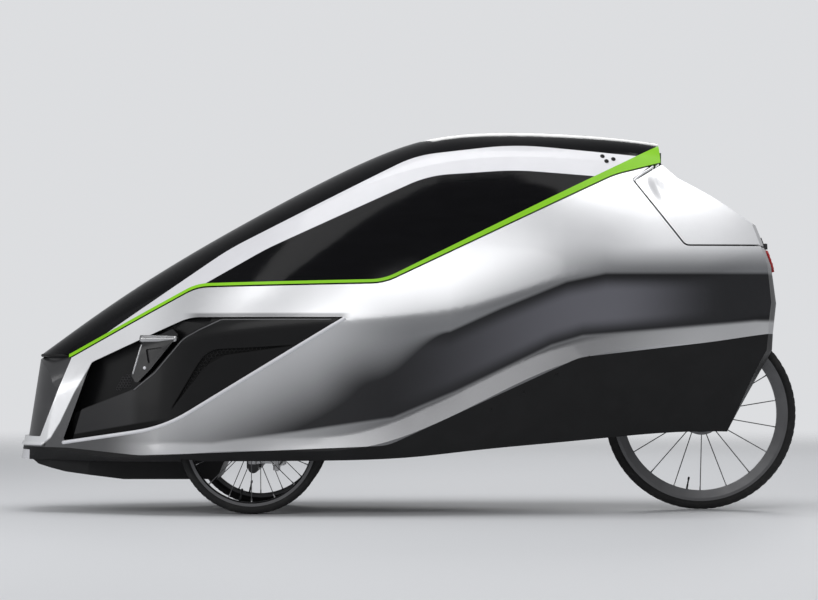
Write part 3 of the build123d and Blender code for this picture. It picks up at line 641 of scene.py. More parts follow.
# %% Spoke nipples and valves
def turned(name, profile, sides=10):
    """A small part turned about z from (radius, height) pairs."""
    vertices, faces = [], []
    for radius, height in profile:
        for step in range(sides):
            turn = tau * step / sides
            vertices.append((radius * cos(turn), radius * sin(turn), height))
    for row in range(len(profile) - 1):
        for step in range(sides):
            a = row * sides + step
            b = row * sides + (step + 1) % sides
            faces.append((a, b, b + sides, a + sides))
    faces.append(tuple(range(sides))[::-1])
    faces.append(tuple(range(len(vertices) - sides, len(vertices))))
    return mesh_of(name, vertices, faces)


# Columns: number of nipples, radius of their ring.
RIM = {"front_left": (16, 0.187), "front_right": (16, 0.187), "rear": (18, 0.243)}
NIPPLE = turned("nipple", [(0.0026, -0.003), (0.0026, 0.002), (0.0020, 0.004), (0.0020, 0.010),
                           (0.0017, 0.011)], 8)
VALVE = [(0.0030, 0.0), (0.0030, 0.016), (0.0024, 0.017), (0.0024, 0.030), (0.0034, 0.031), (0.0034, 0.038),
         (0.0026, 0.040)]
VALVE_SEAT = 0.001


def ring_of(name, item, count, radius, finish):
    part = scratch("ring_item", item.copy())
    tree = Growth(name, Item=part, Count=count, Radius=radius)
    circle = {"Vertices": tree.size("Count"), "Radius": tree.size("Radius")}
    ring = tree.node("GeometryNodeMeshCircle", {}, circle)
    spot = tree.node("GeometryNodeInputPosition")
    inward = tree.node("ShaderNodeVectorMath", {"operation": "SCALE"}, {0: spot, "Scale": -1.0})
    turn = tree.node("FunctionNodeAlignRotationToVector", {"axis": "Z"}, {"Vector": inward})
    copies = tree.node("GeometryNodeInstanceOnPoints", {},
                       {"Points": ring, "Instance": tree.shape_of("Item"), "Rotation": turn})
    mesh = tree.grow(copies, finish, name)
    drop(part)
    return mesh


for wheel, (spokes, radius) in RIM.items():
    hub = Matrix.Translation(AXLE[wheel])
    mesh = ring_of(wheel + "_nipples", NIPPLE, spokes, radius, FINISHES["bright_steel"])
    mesh.transform(hub @ UPRIGHT @ Matrix.Rotation(radians(-90), 4, "Z"))
    piece(wheel + "_nipples", mesh, "bright_steel", wheel)
    stem = turned(wheel + "_valve", VALVE)
    half_pitch = Matrix.Rotation(pi / spokes, 4, "Y")
    stem.transform(hub @ half_pitch @ Matrix.Translation((0, 0, -radius - VALVE_SEAT)))
    piece(wheel + "_valve", stem, "matte_black", wheel)
print("nipples and valves on", len(RIM), "wheels")

# %% [markdown]
# The seat is the soft part: a cushion, a back and a headrest of foam under a knitted cover. A pad could
# be drawn by hand, but foam swells where nothing holds it. So each one starts as a slightly smaller
# copy of its solid, remeshed evenly, and cloth with inner pressure blows it into a crowned form.

# %% Swollen pads
PAD_CAP = 0.012
PAD_PRESSURE = 4.0
PAD_FRAMES = 18


def even_copy(name, shrink, voxel):
    """A smaller copy of a solid with an even mesh."""
    low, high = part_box(name)
    centre = (low + high) / 2
    mesh = NODES[name].data.copy()
    shape = joined(mesh)
    shape.to_mesh(mesh)
    shape.free()
    mesh.transform(Matrix.Translation(centre) @ Matrix.Diagonal((*shrink, 1)) @ Matrix.Translation(-centre))
    pad = scratch(name + "_pad", mesh)
    remesh = pad.modifiers.new("even", "REMESH")
    remesh.mode = "VOXEL"
    remesh.voxel_size = voxel
    even = baked(pad)
    pad.modifiers.clear()
    pad.data = even
    return pad


def swell(pad):
    """Blow a pad up; no point moves further than PAD_CAP."""
    before = [v.co.copy() for v in pad.data.vertices]
    cloth = pad.modifiers.new("cloth", "CLOTH")
    cloth.settings.use_pressure = True
    cloth.settings.uniform_pressure_force = PAD_PRESSURE
    cloth.settings.effector_weights.gravity = 0.0
    cloth.settings.quality = 4
    scene = bpy.context.scene
    for step in range(1, PAD_FRAMES + 1):
        scene.frame_set(step)
    swollen = baked(pad)
    pad.modifiers.clear()
    for vertex, start in zip(swollen.vertices, before):
        move = vertex.co - start
        if move.length > PAD_CAP:
            vertex.co = start + move * (PAD_CAP / move.length)
    pad.data = swollen
    scene.frame_set(1)


# %% [markdown]
# The cover is sewn down in channels, which keep the foam from shifting. Points near each seam sink
# along their normals, and a smoothing and one subdivision round what is left.

# %% Seat covers
def press_channels(pad, along, across, lines, width, depth):
    """Sewn channels: points near each line sink along their normals."""
    mesh = pad.data
    normals = [v.normal.copy() for v in mesh.vertices]
    for vertex, normal in zip(mesh.vertices, normals):
        facing = max(0.0, normal.dot(along))
        gap = min(abs(vertex.co.dot(across) - line) for line in lines)
        sink = facing * depth * max(0.0, 1 - gap / width) ** 2
        vertex.co -= normal * sink


def finish_pad(pad, node):
    smooth = pad.modifiers.new("soften", "SMOOTH")
    smooth.factor = 0.5
    smooth.iterations = 4
    finer = pad.modifiers.new("finer", "SUBSURF")
    finer.levels = 1
    finer.render_levels = 1
    mesh = baked(pad)
    drop(pad)
    cover = piece(node + "_cover", smoothed(mesh), "seat_fabric", "chassis")
    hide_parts(node)
    return cover


UP = Vector((0, 0, 1))
AHEAD = Vector((-1, 0, 0))
RIGHT = Vector((0, 1, 0))
# Columns: solid, shrink, voxel size, channels (facing, across, places, width, depth), fill.
PADS = [
    ("seat_cushion", (0.93, 0.94, 0.80), 0.006, (UP, RIGHT, (-0.085, 0.0, 0.085), 0.012, 0.006), 0.7),
    ("seat_back", (0.86, 0.94, 0.965), 0.006, (AHEAD, UP, (0.50, 0.60, 0.70, 0.80), 0.013, 0.006), 0.6),
    ("headrest", (0.74, 0.90, 0.88), 0.005, (AHEAD, RIGHT, (-0.028, 0.028), 0.010, 0.004), 0.8),
]
for node, shrink, voxel, channels, fill in PADS:
    pad = even_copy(node, shrink, voxel)
    swell(pad)
    press_channels(pad, *channels)
    cover = finish_pad(pad, node)
    print(cover.name, [round(v, 3) for v in cover.dimensions], len(cover.data.polygons), "faces")

# %% [markdown]
# The corners of the tail lie a little ahead of its middle, so the red lamp shows past them from the
# side. The solids end in one flat plane, so the pieces round the tail are replaced by copies, cut into
# strips across the tail and drawn in towards the corners. The boot lid has a shallow grip scoop at its
# front edge: its copy is cut into a fine grid there, and the points sink by a smooth bowl.

# %% Bowls and strips
TAIL_START, TAIL_END = 0.90, 1.156
TAIL_STRIP, TAIL_STRIPS = 0.0256, 10
CORNER_START, CORNER_END = 0.075, 0.245
CORNER_STRIP, CORNER_STRIPS = 0.0243, 8
CORNER_PULL = 0.038
SCOOP_X, SCOOP_Z = 0.7775, 1.0036
SCOOP_LONG, SCOOP_WIDE, SCOOP_DEEP = 0.040, 0.017, 0.009
SCOOP_TURN = radians(-59)
SCOOP_RIM = 1.6
SCOOP_GRID = 0.007
SCOOP_COLUMNS, SCOOP_ROWS = range(-8, 9), range(-9, 10)
REARWARD = Vector((1, 0, 0))


def ease(value, low, high):
    share = min(1.0, max(0.0, (value - low) / (high - low)))
    return share * share * (3 - 2 * share)


def cut_across(shape, way, places):
    """New edges where planes across one way meet the faces."""
    for place in places:
        everything = shape.verts[:] + shape.edges[:] + shape.faces[:]
        bmesh.ops.bisect_plane(shape, geom=everything, plane_co=way * place, plane_no=way, dist=MERGE)


def scoop(x, z):
    """How far the grip scoop sinks into the lid, as a share of its depth."""
    ahead, up = x - SCOOP_X, z - SCOOP_Z
    along = (ahead * cos(SCOOP_TURN) + up * sin(SCOOP_TURN)) / SCOOP_LONG
    across = (up * cos(SCOOP_TURN) - ahead * sin(SCOOP_TURN)) / SCOOP_WIDE
    return ease(SCOOP_RIM - (along * along + across * across) ** 0.5, 0.0, SCOOP_RIM)


print("scoop depth at its middle", SCOOP_DEEP * scoop(SCOOP_X, SCOOP_Z))

# %% Rounded tail
SHARP = radians(28)
TAIL_NODES = {
    "body_side_left": "chassis",
    "body_side_right": "chassis",
    "lower_shell_left": "chassis",
    "lower_shell_right": "chassis",
    "boot_floor": "chassis",
    "boot_lid": "boot",
}
RESHAPED = {}


def tail_copy(node):
    """A copy of a solid with its tail corners drawn in, and with the scoop if it is the lid."""
    lid = node == "boot_lid"
    mesh = NODES[node].data.copy()
    mesh.attributes.remove(mesh.attributes["custom_normal"])
    shape = joined(mesh)
    cut_across(shape, REARWARD, [TAIL_START + TAIL_STRIP * step for step in range(TAIL_STRIPS)])
    for side in SIDES.values():
        strips = [side * (CORNER_START + CORNER_STRIP * step) for step in range(CORNER_STRIPS)]
        cut_across(shape, RIGHT, strips)
    if lid:
        cut_across(shape, REARWARD, [SCOOP_X + SCOOP_GRID * step for step in SCOOP_COLUMNS])
        cut_across(shape, UP, [SCOOP_Z + SCOOP_GRID * step for step in SCOOP_ROWS])
    for vertex in shape.verts:
        x, y, z = vertex.co
        if lid and abs(y) > CORNER_START:
            vertex.co.y = y - (1 if y > 0 else -1) * SCOOP_DEEP * scoop(x, z)
        vertex.co.x = x - CORNER_PULL * ease(x, TAIL_START, TAIL_END) * ease(abs(y), CORNER_START, CORNER_END)
    shape.to_mesh(mesh)
    shape.free()
    smoothed(mesh).set_sharp_from_angle(angle=SHARP)
    RESHAPED[node] = mesh
    return mesh


for node, body in TAIL_NODES.items():
    slot = NODES[node].material_slots[0].material
    name = next(key for key, finish in FINISHES.items() if finish == slot)
    copy = piece(node + "_tail", tail_copy(node), name, body)
    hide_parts(node)
    print(copy.name, len(copy.data.polygons), "faces")

# %% [markdown]
# Small hard pieces sit on the solids, so their places are found by casting a ray at the solid and
# taking the point and the normal that it meets. A tree then copies one part to every place and turns
# it to the normal. Screws, lamp cells and the mesh of the air slit are all made this way.

# %% Placing parts on a surface
from mathutils.bvhtree import BVHTree

TREES = {}


def touch(node, start, direction):
    """Where a ray meets a solid, and the surface normal there."""
    if node not in TREES:
        mesh = RESHAPED.get(node) or NODES[node].data
        TREES[node] = BVHTree.FromPolygons([v.co for v in mesh.vertices], [p.vertices for p in mesh.polygons])
    spot, normal, *_ = TREES[node].ray_cast(Vector(start), Vector(direction).normalized())
    if spot is None:
        return None
    if normal.dot(Vector(direction)) > 0:
        normal = -normal
    return spot, normal


def from_side(node, side, x, z):
    return touch(node, (x, side * 1.0, z), (0, -side, 0))


def studs(name, places, item, slot, body, lift=0.0):
    """One copy of a part at each (point, normal), as a single piece."""
    grid = bpy.data.meshes.new("places")
    grid.from_pydata([spot + normal * lift for spot, normal in places], [], [])
    facing = grid.attributes.new("facing", "FLOAT_VECTOR", "POINT")
    facing.data.foreach_set("vector", [c for spot, normal in places for c in normal])
    spots = scratch("places", grid)
    part = scratch("stud_item", item.copy())
    tree = Growth(name, Places=spots, Item=part)
    heading = tree.node("GeometryNodeInputNamedAttribute", {"data_type": "FLOAT_VECTOR"}, {"Name": "facing"})
    turn = tree.node("FunctionNodeAlignRotationToVector", {"axis": "Z"}, {"Vector": heading})
    copies = tree.node("GeometryNodeInstanceOnPoints", {}, {
        "Points": tree.shape_of("Places"),
        "Instance": tree.shape_of("Item"),
        "Rotation": turn,
    })
    mesh = tree.grow(copies, FINISHES[slot], name)
    drop(spots, part)
    return piece(name, mesh, slot, body)


# %% [markdown]
# Three dark button screws hold the rear end of each canopy rail, and smaller ones run along the hem of
# the black lower shell, as on any moulding that has to come off for service. The flank is curved, so
# rays from the side find where each one stands and which way it faces.

# %% Screws
BUTTON = turned("button", [(0.0046, -0.001), (0.0046, 0.0008), (0.0040, 0.0020), (0.0026, 0.0026),
                           (0.0022, 0.0026), (0.0020, 0.0010), (0.0004, 0.0010)], 12)
BOLT_SCALE = (1.6, 1.6, 1.3, 1)
BOLT = BUTTON.copy()
BOLT.transform(Matrix.Diagonal(BOLT_SCALE))
RAIL_SCREWS = [(0.603, 1.110), (0.615, 1.094), (0.637, 1.101)]
HEM_SCREWS = 9
HEM_X, HEM_PITCH = 0.25, 0.10
HEM_Z, HEM_RISE, HEM_RISE_STEPS = 0.325, 0.170, 3.2
HEM_CLIMB, HEM_LEVEL = 0.012, 3
HEM_SINK = -0.0006


def hem_screw(step):
    """The place of one hem screw in the side view: a steep rise, then a gentle climb."""
    z = HEM_Z + HEM_RISE * min(1.0, step / HEM_RISE_STEPS) + HEM_CLIMB * max(0, step - HEM_LEVEL)
    return HEM_X + HEM_PITCH * step, z


for side_name, side in SIDES.items():
    rail, shell = "canopy_rail_" + side_name, "lower_shell_" + side_name
    studs("rail_screws_" + side_name, [from_side(rail, side, x, z) for x, z in RAIL_SCREWS], BOLT,
          "gloss_black", "canopy")
    hem = [from_side(shell, side, *hem_screw(step)) for step in range(HEM_SCREWS)]
    hem = [spot for spot in hem if spot]
    studs("shell_screws_" + side_name, hem, BUTTON, "matte_black", "chassis", HEM_SINK)
    print(side_name, len(RAIL_SCREWS), "rail screws,", len(hem), "hem screws")

# %% [markdown]
# The canopy shuts on soft rubber. Across the nose a bulb seal closes the gap between the glass and
# the dark front panel, so no light shows through. A seal is a round bar along a smooth line: a curve
# with a bevel, turned into a mesh.

# %% Nose seal
def tube(name, points, radius, slot, body, closed=False, order=4):
    """A round bar along a smooth line."""
    data = bpy.data.curves.new(name, "CURVE")
    data.dimensions = "3D"
    data.bevel_depth = radius
    data.bevel_resolution = 3
    data.use_fill_caps = True
    spline = data.splines.new("NURBS")
    spline.points.add(len(points) - 1)
    for target, point in zip(spline.points, points):
        target.co = (*point, 1)
    spline.order_u = min(order, len(points))
    spline.use_endpoint_u = not closed
    spline.use_cyclic_u = closed
    spline.resolution_u = 8
    line = scratch(name, data)
    mesh = baked(line)
    drop(line)
    return piece(name, mended(mesh), slot, body)


SEAL_X, SEAL_Z = -0.9632, 0.4885
SEAL_R = 0.200
SEAL_TURN = 9.5
SEAL_BULB = 0.0052
SEAL_END_X, SEAL_END_Y = -1.064, 0.138
seal = [(SEAL_END_X, -SEAL_END_Y, SEAL_Z)]
for step in range(-4, 5):
    turn = radians(SEAL_TURN * step)
    seal.append((SEAL_X - SEAL_R * cos(turn), SEAL_R * sin(turn), SEAL_Z))
seal.append((SEAL_END_X, SEAL_END_Y, SEAL_Z))
tube("nose_seal", seal, SEAL_BULB, "matte_black", "chassis")
print("nose seal through", len(seal), "points")

# %% [markdown]
# The foot of the nose flares out in a rounded toe. It follows the nose round, so its line is found by
# rays from the front, and it has the body's paint. A bar of the same kind as the seal is enough, because
# only its outer half shows.

# %% Nose toe
TOE_Z, TOE_R = 0.2125, 0.0062
TOE_PITCH = 0.0215
TOE_LIFT = 0.0005
# The shift keeps the middle ray off the seam between the two body sides.
TOE_SHIFT = 0.001
FAR_AHEAD = -1.6
toe = []
for step in range(-8, 9):
    side_name = "left" if step < 0 else "right"
    y = TOE_PITCH * step + TOE_SHIFT
    spot, normal = touch("body_side_" + side_name, (FAR_AHEAD, y, TOE_Z), (1, 0, 0))
    toe.append(spot + normal * TOE_LIFT)
tube("nose_toe", toe, TOE_R, "body_paint", "chassis")
print("nose toe through", len(toe), "points")

# %% [markdown]
# A rubber bead closes the slot at the front and rear foot of each wheel arch, where the arch meets the
# floor, so that spray stays out of the cabin. Each is a short straight bar.

# %% Wheel arch beads
ARCH_BEAD_X = {"front": -0.7452, "rear": -0.2245}
ARCH_BEAD_Y = (0.168, 0.21, 0.26, 0.306)
ARCH_BEAD_Z, ARCH_BEAD_R = 0.1788, 0.0042
for side_name, side in SIDES.items():
    for end, x in ARCH_BEAD_X.items():
        line = [(x, side * y, ARCH_BEAD_Z) for y in ARCH_BEAD_Y]
        tube("arch_bead_%s_%s" % (end, side_name), line, ARCH_BEAD_R, "matte_black", "chassis")
print(len(SIDES) * len(ARCH_BEAD_X), "arch beads")

# %% [markdown]
# The body carries the boot lid on a rolled flange. It lies in the gap at the lid's front edge, in the
# body's own paint, so that the gap reads as a thin shut line. The real one is a fold of the body, but a
# bar laid in the gap shows the same rounded edge and stays clear of the lid when it opens.

# %% Lid flange
LID_GAP = [(0.699, 0.2105, 1.030), (0.708, 0.201, 1.040), (0.719, 0.193, 1.048), (0.729, 0.186, 1.056),
           (0.744, 0.1765, 1.064), (0.757, 0.168, 1.072), (0.763, 0.160, 1.078)]
FLANGE_R = 0.0044
FLANGE_AHEAD, FLANGE_SINK, FLANGE_UP = 0.0012, 0.0015, 0.0008
for side_name, side in SIDES.items():
    line = [(x - FLANGE_AHEAD, side * (y - FLANGE_R - FLANGE_SINK), z + FLANGE_UP) for x, y, z in LID_GAP]
    tube("lid_flange_" + side_name, line, FLANGE_R, "body_paint", "chassis")
print("lid flange through", len(LID_GAP), "points a side")

# %% [markdown]
# Inside, the rider's hands meet ribbed grips and brake levers. They are seen when the canopy is up, so
# they get their own shapes: rings along a line, a bent lever and a clamp that holds it.

# %% Grips and levers
def ring_mesh(name, major, minor, steps=28, sides=8):
    """A ring about z: major is its radius, minor that of its section."""
    vertices, faces = [], []
    for a in range(steps):
        for b in range(sides):
            turn, roll = tau * a / steps, tau * b / sides
            out = major + minor * cos(roll)
            vertices.append((out * cos(turn), out * sin(turn), minor * sin(roll)))
            c, d = (a + 1) % steps, (b + 1) % sides
            faces.append((a * sides + b, c * sides + b, c * sides + d, a * sides + d))
    return mesh_of(name, vertices, faces)


GRIP_START = Vector((-0.122, 0.235, 0.6122))
GRIP_END = Vector((-0.020, 0.235, 0.6020))
GRIP_RIBS = 13
RIB = ring_mesh("rib", major=0.0161, minor=0.0016)
LEVER = [(-0.128, 0.214, 0.606), (-0.105, 0.219, 0.592), (-0.070, 0.226, 0.579), (-0.035, 0.230, 0.572),
         (-0.012, 0.231, 0.570)]
LEVER_R = 0.0052
CLAMP_PLACE = Vector((-0.1425, 0.2175, 0.6118))
CLAMP_AXIS = Vector((0.03, 0.145, 0.014))
for side_name, side in SIDES.items():
    flip = Matrix.Diagonal((1, side, 1))
    start, end = flip @ GRIP_START, flip @ GRIP_END
    along = (end - start).normalized()
    ribs = [(start.lerp(end, (n + 0.5) / GRIP_RIBS), along) for n in range(GRIP_RIBS)]
    studs("grip_ribs_" + side_name, ribs, RIB, "matte_black", "handlebar")
    lever = [(x, side * y, z) for x, y, z in LEVER]
    tube("brake_lever_" + side_name, lever, LEVER_R, "bright_steel", "handlebar")
    clamp = ring_mesh("lever_clamp_" + side_name, major=0.0135, minor=0.0055, steps=24, sides=10)
    turn = (flip @ CLAMP_AXIS).to_track_quat("Z", "Y").to_matrix().to_4x4()
    clamp.transform(Matrix.Translation(flip @ CLAMP_PLACE) @ turn)
    piece("lever_clamp_" + side_name, clamp, "matte_black", "handlebar")
print(GRIP_RIBS, "ribs and a lever a side")

# %% [markdown]
# A small display stands in the middle of the bar: a case with rounded edges and a sunk face, and a
# glossy screen in it. A cube with an inset and a bevel is enough for both.

# %% Display
DISPLAY_PLACE = (-0.176, 0, 0.624)
DISPLAY_TILT = radians(28)
CASE_SIZE = (0.066, 0.112, 0.022)
SCREEN_SIZE = (0.046, 0.092, 0.003)
SCREEN_LIFT = 0.0085


def rounded_case(name, size, radius, inset, sunk):
    """A case with rounded edges and a sunk face on top for a screen."""
    shape = bmesh.new()
    bmesh.ops.create_cube(shape, size=1.0)
    bmesh.ops.scale(shape, vec=size, verts=shape.verts)
    top = max(shape.faces, key=lambda f: f.calc_center_median().z)
    bmesh.ops.inset_individual(shape, faces=[top], thickness=inset, depth=-sunk)
    floor_z = size[2] / 2 - sunk / 2
    sunk_faces = {f for f in shape.faces if f.normal.z > 0.9 and f.calc_center_median().z < floor_z}
    edges = [e for e in shape.edges if sunk_faces.isdisjoint(e.link_faces)]
    bmesh.ops.bevel(shape, geom=edges, offset=radius, segments=3, affect="EDGES", profile=0.6)
    bmesh.ops.recalc_face_normals(shape, faces=shape.faces)
    mesh = bpy.data.meshes.new(name)
    shape.to_mesh(mesh)
    shape.free()
    return mesh


tilt = Matrix.Translation(DISPLAY_PLACE) @ Matrix.Rotation(DISPLAY_TILT, 4, "Y")
case = rounded_case("display_case", CASE_SIZE, radius=0.0035, inset=0.007, sunk=0.003)
case.transform(tilt)
piece("display_case", case, "matte_black", "handlebar")
screen = rounded_case("display_screen", SCREEN_SIZE, radius=0.0008, inset=0.002, sunk=0.0004)
screen.transform(tilt @ Matrix.Translation((0, 0, SCREEN_LIFT)))
piece("display_screen", screen, "gloss_black", "handlebar")
print("display of", len(case.polygons) + len(screen.polygons), "faces")

# %% [markdown]
# Trim on the flank follows lines that bend with a radius. A line is given by its corners, each corner is
# eased, the line is stepped evenly and every step is dropped on the solid from the side. For a mesh that
# fills an outline, the same rays fall on a staggered grid.

# %% Lines on a surface
EASE_STEPS = 8
EASE_SHARE = 0.48
ROW_SHARE = 0.866


def rounded(corners, closed=True):
    """A line through (x, z, radius) corners, each corner eased to its radius."""
    points = []
    last = len(corners) - 1
    for index, (x, z, radius) in enumerate(corners):
        here = Vector((x, z))
        if radius == 0 or not closed and index in (0, last):
            points.append(here)
            continue
        before = Vector(corners[index - 1][:2]) - here
        after = Vector(corners[0 if index == last else index + 1][:2]) - here
        shortest = min(before.length, after.length)
        cut = min(radius / tan(before.angle(after) / 2), EASE_SHARE * shortest)
        first, second = here + before.normalized() * cut, here + after.normalized() * cut
        for step in range(EASE_STEPS + 1):
            share = step / EASE_STEPS
            points.append(first.lerp(here, share).lerp(here.lerp(second, share), share))
    return points


def stepped(points, pitch):
    """Even steps along a line."""
    places = [points[0]]
    for here, after in zip(points, points[1:]):
        count = max(1, round((after - here).length / pitch))
        places += [here.lerp(after, (n + 1) / count) for n in range(count)]
    return places


def draped(node, side, points, lift):
    """The line laid on a solid, seen from one side."""
    found = [from_side(node, side, x, z) for x, z in points]
    return [spot + normal * lift for spot, normal in filter(None, found)]


def inside(x, z, outline):
    """Is a point within an outline of (x, z) corners?"""
    odd = False
    for (xa, za), (xb, zb) in zip(outline, outline[1:] + outline[:1]):
        if (za > z) != (zb > z) and x < xa + (z - za) * (xb - xa) / (zb - za):
            odd = not odd
    return odd


def honeycomb(node, side, outline, pitch):
    """Staggered places inside an outline, on a solid."""
    left, right = min(p[0] for p in outline), max(p[0] for p in outline)
    low, high = min(p[1] for p in outline), max(p[1] for p in outline)
    found = []
    row, z = 0, low
    while z < high:
        x = left + pitch * (row % 2) / 2
        while x < right:
            if inside(x, z, outline):
                found.append(from_side(node, side, x, z))
            x += pitch
        row, z = row + 1, z + pitch * ROW_SHARE
    return [spot for spot in found if spot]


# %% [markdown]
# The black recess in each flank has two parts. In front is a bay with the lamp: a bright bar on top,
# a strut down its front edge, a small marker light and a honeycomb grille on the back wall. Behind it
# lies the fender panel with an arched air slit. Its mesh is one hexagon, copied to every place of a
# staggered grid that falls inside the slit's outline. A texture would be lighter, but real cells have
# edges that catch the lamps. A white lip runs along the recess's lower edge, and a thin bar is the
# fender's rounded upper edge, in a lighter alloy grey that is a painted highlight of that edge.

# %% Lamp bay
# Lines in the side view: (x, z, corner radius) in metres.
LIP = [(-0.1939, 0.6036, 0), (-0.7476, 0.2690, 0.45), (-1.0774, 0.2180, 0)]
FENDER_EDGE = [(-0.235, 0.5995, 0), (-0.572, 0.5995, 0.03), (-0.640, 0.5680, 0.04), (-0.689, 0.5410, 0.09),
               (-0.779, 0.4360, 0.06), (-0.846, 0.3830, 0)]
AIR_SLIT = [(-0.726, 0.326, 0), (-0.616, 0.508, 0.080), (-0.352, 0.521, 0), (-0.592, 0.487, 0.060)]
SLIT_PITCH, SLIT_LIFT = 0.0125, 0.0012
GRILLE = [(-0.918, 0.378), (-0.862, 0.392), (-0.862, 0.432), (-0.884, 0.424)]
GRILLE_PITCH, GRILLE_LIFT = 0.0092, 0.0006
HEXAGON = ring_mesh("hexagon", major=0.0070, minor=0.0010, steps=6, sides=6)
SMALL_HEXAGON = ring_mesh("small_hexagon", major=0.0052, minor=0.0009, steps=6, sides=6)
MARKER = turned("marker", [(0.0050, -0.001), (0.0050, 0.0015), (0.0036, 0.0030), (0.0012, 0.0036)], 16)
MARKER_PLACE = (-0.811, 0.451)
POD_FRONT, POD_REAR = (-0.805, 0.525), (-0.730, 0.552)
BAR_X, BAR_Z = (-0.824, -0.767, -0.709), 0.540
BAR_R, BAR_SINK = 0.0125, 0.007
STRUT = [Vector((-0.8215, 0.523)), Vector((-0.8490, 0.432))]
STRUT_STEP, STRUT_R, STRUT_SINK = 0.02, 0.0034, 0.0008
LIP_STEP, LIP_R, LIP_SINK = 0.02, 0.0062, 0.0022
EDGE_STEP, EDGE_R, EDGE_SINK = 0.012, 0.0022, 0.0006


def lamp_bar(pod, side):
    """Three points of a straight bar along the top of the lamp pod."""
    front, rear = (from_side(pod, side, x, z)[0] for x, z in (POD_FRONT, POD_REAR))
    slope = (rear.y - front.y) / (rear.x - front.x)
    return [(x, front.y + slope * (x - front.x) - side * BAR_SINK, BAR_Z) for x in BAR_X]


for side_name, side in SIDES.items():
    inset, pod = "side_inset_" + side_name, "lamp_pod_" + side_name
    slit = honeycomb(inset, side, [tuple(p) for p in rounded(AIR_SLIT)], SLIT_PITCH)
    studs("slit_mesh_" + side_name, slit, HEXAGON, "matte_black", "chassis", SLIT_LIFT)
    grille = honeycomb(inset, side, GRILLE, GRILLE_PITCH)
    studs("lamp_grille_" + side_name, grille, SMALL_HEXAGON, "chassis_steel", "chassis", GRILLE_LIFT)
    studs("lamp_marker_" + side_name, [from_side(pod, side, *MARKER_PLACE)], MARKER, "white_trim", "chassis")
    tube("lamp_bar_" + side_name, lamp_bar(pod, side), BAR_R, "bright_steel", "chassis", order=3)
    strut = draped(pod, side, stepped(STRUT, STRUT_STEP), -STRUT_SINK)
    tube("lamp_strut_" + side_name, strut, STRUT_R, "bright_steel", "chassis")
    rim = draped("body_side_" + side_name, side, stepped(rounded(LIP, False), LIP_STEP), -LIP_SINK)
    tube("flank_lip_" + side_name, rim, LIP_R, "white_trim", "chassis")
    # The fender edge's lighter alloy grey is a painted highlight of its rounded edge.
    edge = draped(inset, side, stepped(rounded(FENDER_EDGE, False), EDGE_STEP), -EDGE_SINK)
    tube("fender_edge_" + side_name, edge, EDGE_R, "wheel_alloy", "chassis")
    print(side_name, len(slit), "slit cells,", len(grille), "grille cells,", len(rim), "lip points")

# %% [markdown]
# The tail lamp is a red lens with rows of small cells moulded into it, held in a frame of the same
# red. Rays from behind find the places, so that each cell sits on the face of the lens.

# %% Tail lamp
CELL = turned("cell", [(0.0058, -0.0006), (0.0058, 0.0004), (0.0045, 0.0017), (0.0024, 0.0025),
                       (0.0006, 0.0027)], 10)
CELL_ROWS, CELL_COLUMNS = 4, 9
CELL_Y, CELL_Z = -0.056, 0.764
CELL_PITCH_Y, CELL_PITCH_Z = 0.014, 0.0135
FRAME_CORNERS = [(-0.071, 0.754), (0.071, 0.754), (0.071, 0.817), (-0.071, 0.817)]
FRAME_R, FRAME_SINK = 0.0034, 0.003
FRAME_REACH = 0.98
FAR_BEHIND = 1.4
FRAME_SHARES = (0.06, 0.5, 0.94)


def from_behind(y, z):
    return touch("tail_lamp", (FAR_BEHIND, y, z), (-1, 0, 0))


cells = []
for row in range(CELL_ROWS):
    for column in range(CELL_COLUMNS):
        cells.append(from_behind(CELL_Y + CELL_PITCH_Y * column, CELL_Z + CELL_PITCH_Z * row))
cells = [found for found in cells if found]
studs("tail_lamp_cells", cells, CELL, "lamp_lens", "chassis")
corners = []
for y, z in FRAME_CORNERS:
    spot = from_behind(FRAME_REACH * y, z)[0]
    corners.append(Vector((spot.x - FRAME_SINK, y, z)))
frame_line = []
for here, after in zip(corners, corners[1:] + corners[:1]):
    frame_line += [here.lerp(after, share) for share in FRAME_SHARES]
tube("tail_lamp_frame", frame_line, FRAME_R, "lamp_lens", "chassis", closed=True, order=3)
print(len(cells), "lamp cells")

# %% [markdown]
# A studio for a silver vehicle needs large soft lamps: paint shows what it reflects. The world shows a
# pale plain ground to the camera, while it lights the object and fills its reflections only weakly.

# %% World
PALE = (0.80, 0.81, 0.83, 1)
FILL, GROUND = 0.42, 0.48
world = bpy.data.worlds.new("studio")
bpy.context.scene.world = world
world.use_nodes = True
sky = Graph(world.node_tree)
camera_ray, glass_ray = (sky.node("ShaderNodeLightPath", output=ray)
                         for ray in ("Is Camera Ray", "Is Transmission Ray"))
background = world.node_tree.nodes["Background"]
sky.feed(background.inputs["Color"], PALE)
sky.feed(background.inputs["Strength"], FILL + camera_ray.most(glass_ray) * GROUND)
print("world fills with", FILL)

# %% [markdown]
# The floor is a pale disc just under the tyres. It turns clear with distance from the middle, so it
# fades out before the horizon and leaves no edge.

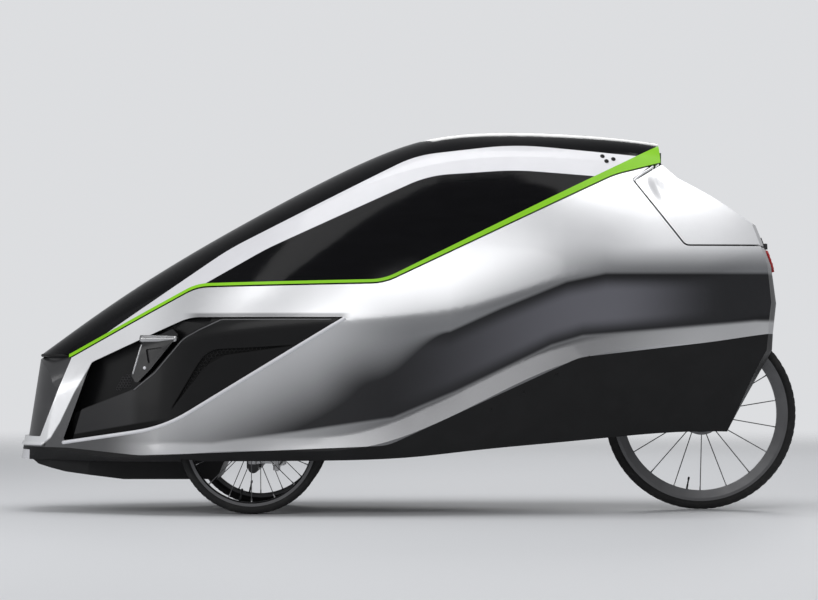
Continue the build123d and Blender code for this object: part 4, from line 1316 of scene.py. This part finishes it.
# %% Floor
FLOOR_R = 14.0
FLOOR_DROP = -0.0006
FADE_START, FADE_END = 3.0, 9.0
floor_mesh = bpy.data.meshes.new("studio_floor")
disc = bmesh.new()
bmesh.ops.create_circle(disc, cap_ends=True, segments=96, radius=FLOOR_R)
disc.to_mesh(floor_mesh)
disc.free()
floor_mesh.transform(Matrix.Translation((0, 0, FLOOR_DROP)))
floor = bpy.data.objects.new("studio_floor", floor_mesh)
bpy.context.scene.collection.objects.link(floor)
concrete = Finish("studio_floor", Base_Color=(0.70, 0.71, 0.73, 1), Roughness=0.55, Specular_IOR_Level=0.2)
x, y, _ = concrete.split(concrete.place)
spread = x * x + y * y
distance = spread.maths("SQRT", spread)
solid = Value(concrete, concrete.shader.outputs[0])
clear = concrete.node("ShaderNodeBsdfTransparent")
fade = distance.rise(FADE_START, FADE_END)
faded = concrete.node("ShaderNodeMixShader", {}, {0: fade, 1: solid, 2: clear})
concrete.feed(concrete.tree.nodes["Material Output"].inputs["Surface"], faded)
floor_mesh.materials.append(concrete.material)
print("floor fades from", FADE_START, "to", FADE_END, "metres")

# %% [markdown]
# Four softboxes light the tricycle: a large one overhead for the shoulder and the lid, one to the left
# for the flank, one ahead for the nose and one behind it to part it from the ground.

# %% Lamps
# Columns: name, place, aim, size, watts.
SOFTBOXES = [
    ("top_softbox", (0.0, -0.6, 4.2), (0.0, 0.0, 0.6), (4.2, 2.6), 94),
    ("side_softbox", (-0.8, -4.6, 3.4), (0.0, 0.0, 0.6), (3.6, 2.2), 60),
    ("nose_softbox", (-4.4, -2.6, 1.7), (-0.8, 0.0, 0.4), (2.2, 1.8), 34),
    ("back_softbox", (1.2, 4.6, 3.2), (0.0, 0.0, 0.6), (3.0, 2.0), 60),
]
for name, place, aim, size, watts in SOFTBOXES:
    lamp = bpy.data.lights.new(name, "AREA")
    lamp.shape = "RECTANGLE"
    lamp.size, lamp.size_y = size
    lamp.energy = watts
    thing = bpy.data.objects.new(name, lamp)
    thing.location = place
    thing.rotation_euler = (Vector(aim) - Vector(place)).to_track_quat("-Z", "Y").to_euler()
    bpy.context.scene.collection.objects.link(thing)
    print(name, watts, "W")

# %% [markdown]
# The camera stands square to the left side, nine metres away, with its lens level at half a metre. From
# there the two front wheels part a little by perspective. A small vertical shift puts the horizon below
# the middle of the picture without tilting the lens.

# %% Camera
CAMERA_AWAY = 9.0
CAMERA_HEIGHT = 0.5215
SENSOR = 36.0
PIXELS = 818
FOCAL_PIXELS = 2832
SHIFT_PIXELS = 45
eye = bpy.data.cameras.new("camera")
eye.sensor_width = SENSOR
eye.lens = SENSOR * FOCAL_PIXELS / PIXELS
eye.shift_y = SHIFT_PIXELS / PIXELS
camera = bpy.data.objects.new("camera", eye)
camera.location = (0, -CAMERA_AWAY, CAMERA_HEIGHT)
camera.rotation_euler = (radians(90), 0, 0)
bpy.context.scene.collection.objects.link(camera)
bpy.context.scene.camera = camera
bpy.context.scene.view_settings.view_transform = "Standard"
print("lens of", round(eye.lens, 1), "mm")
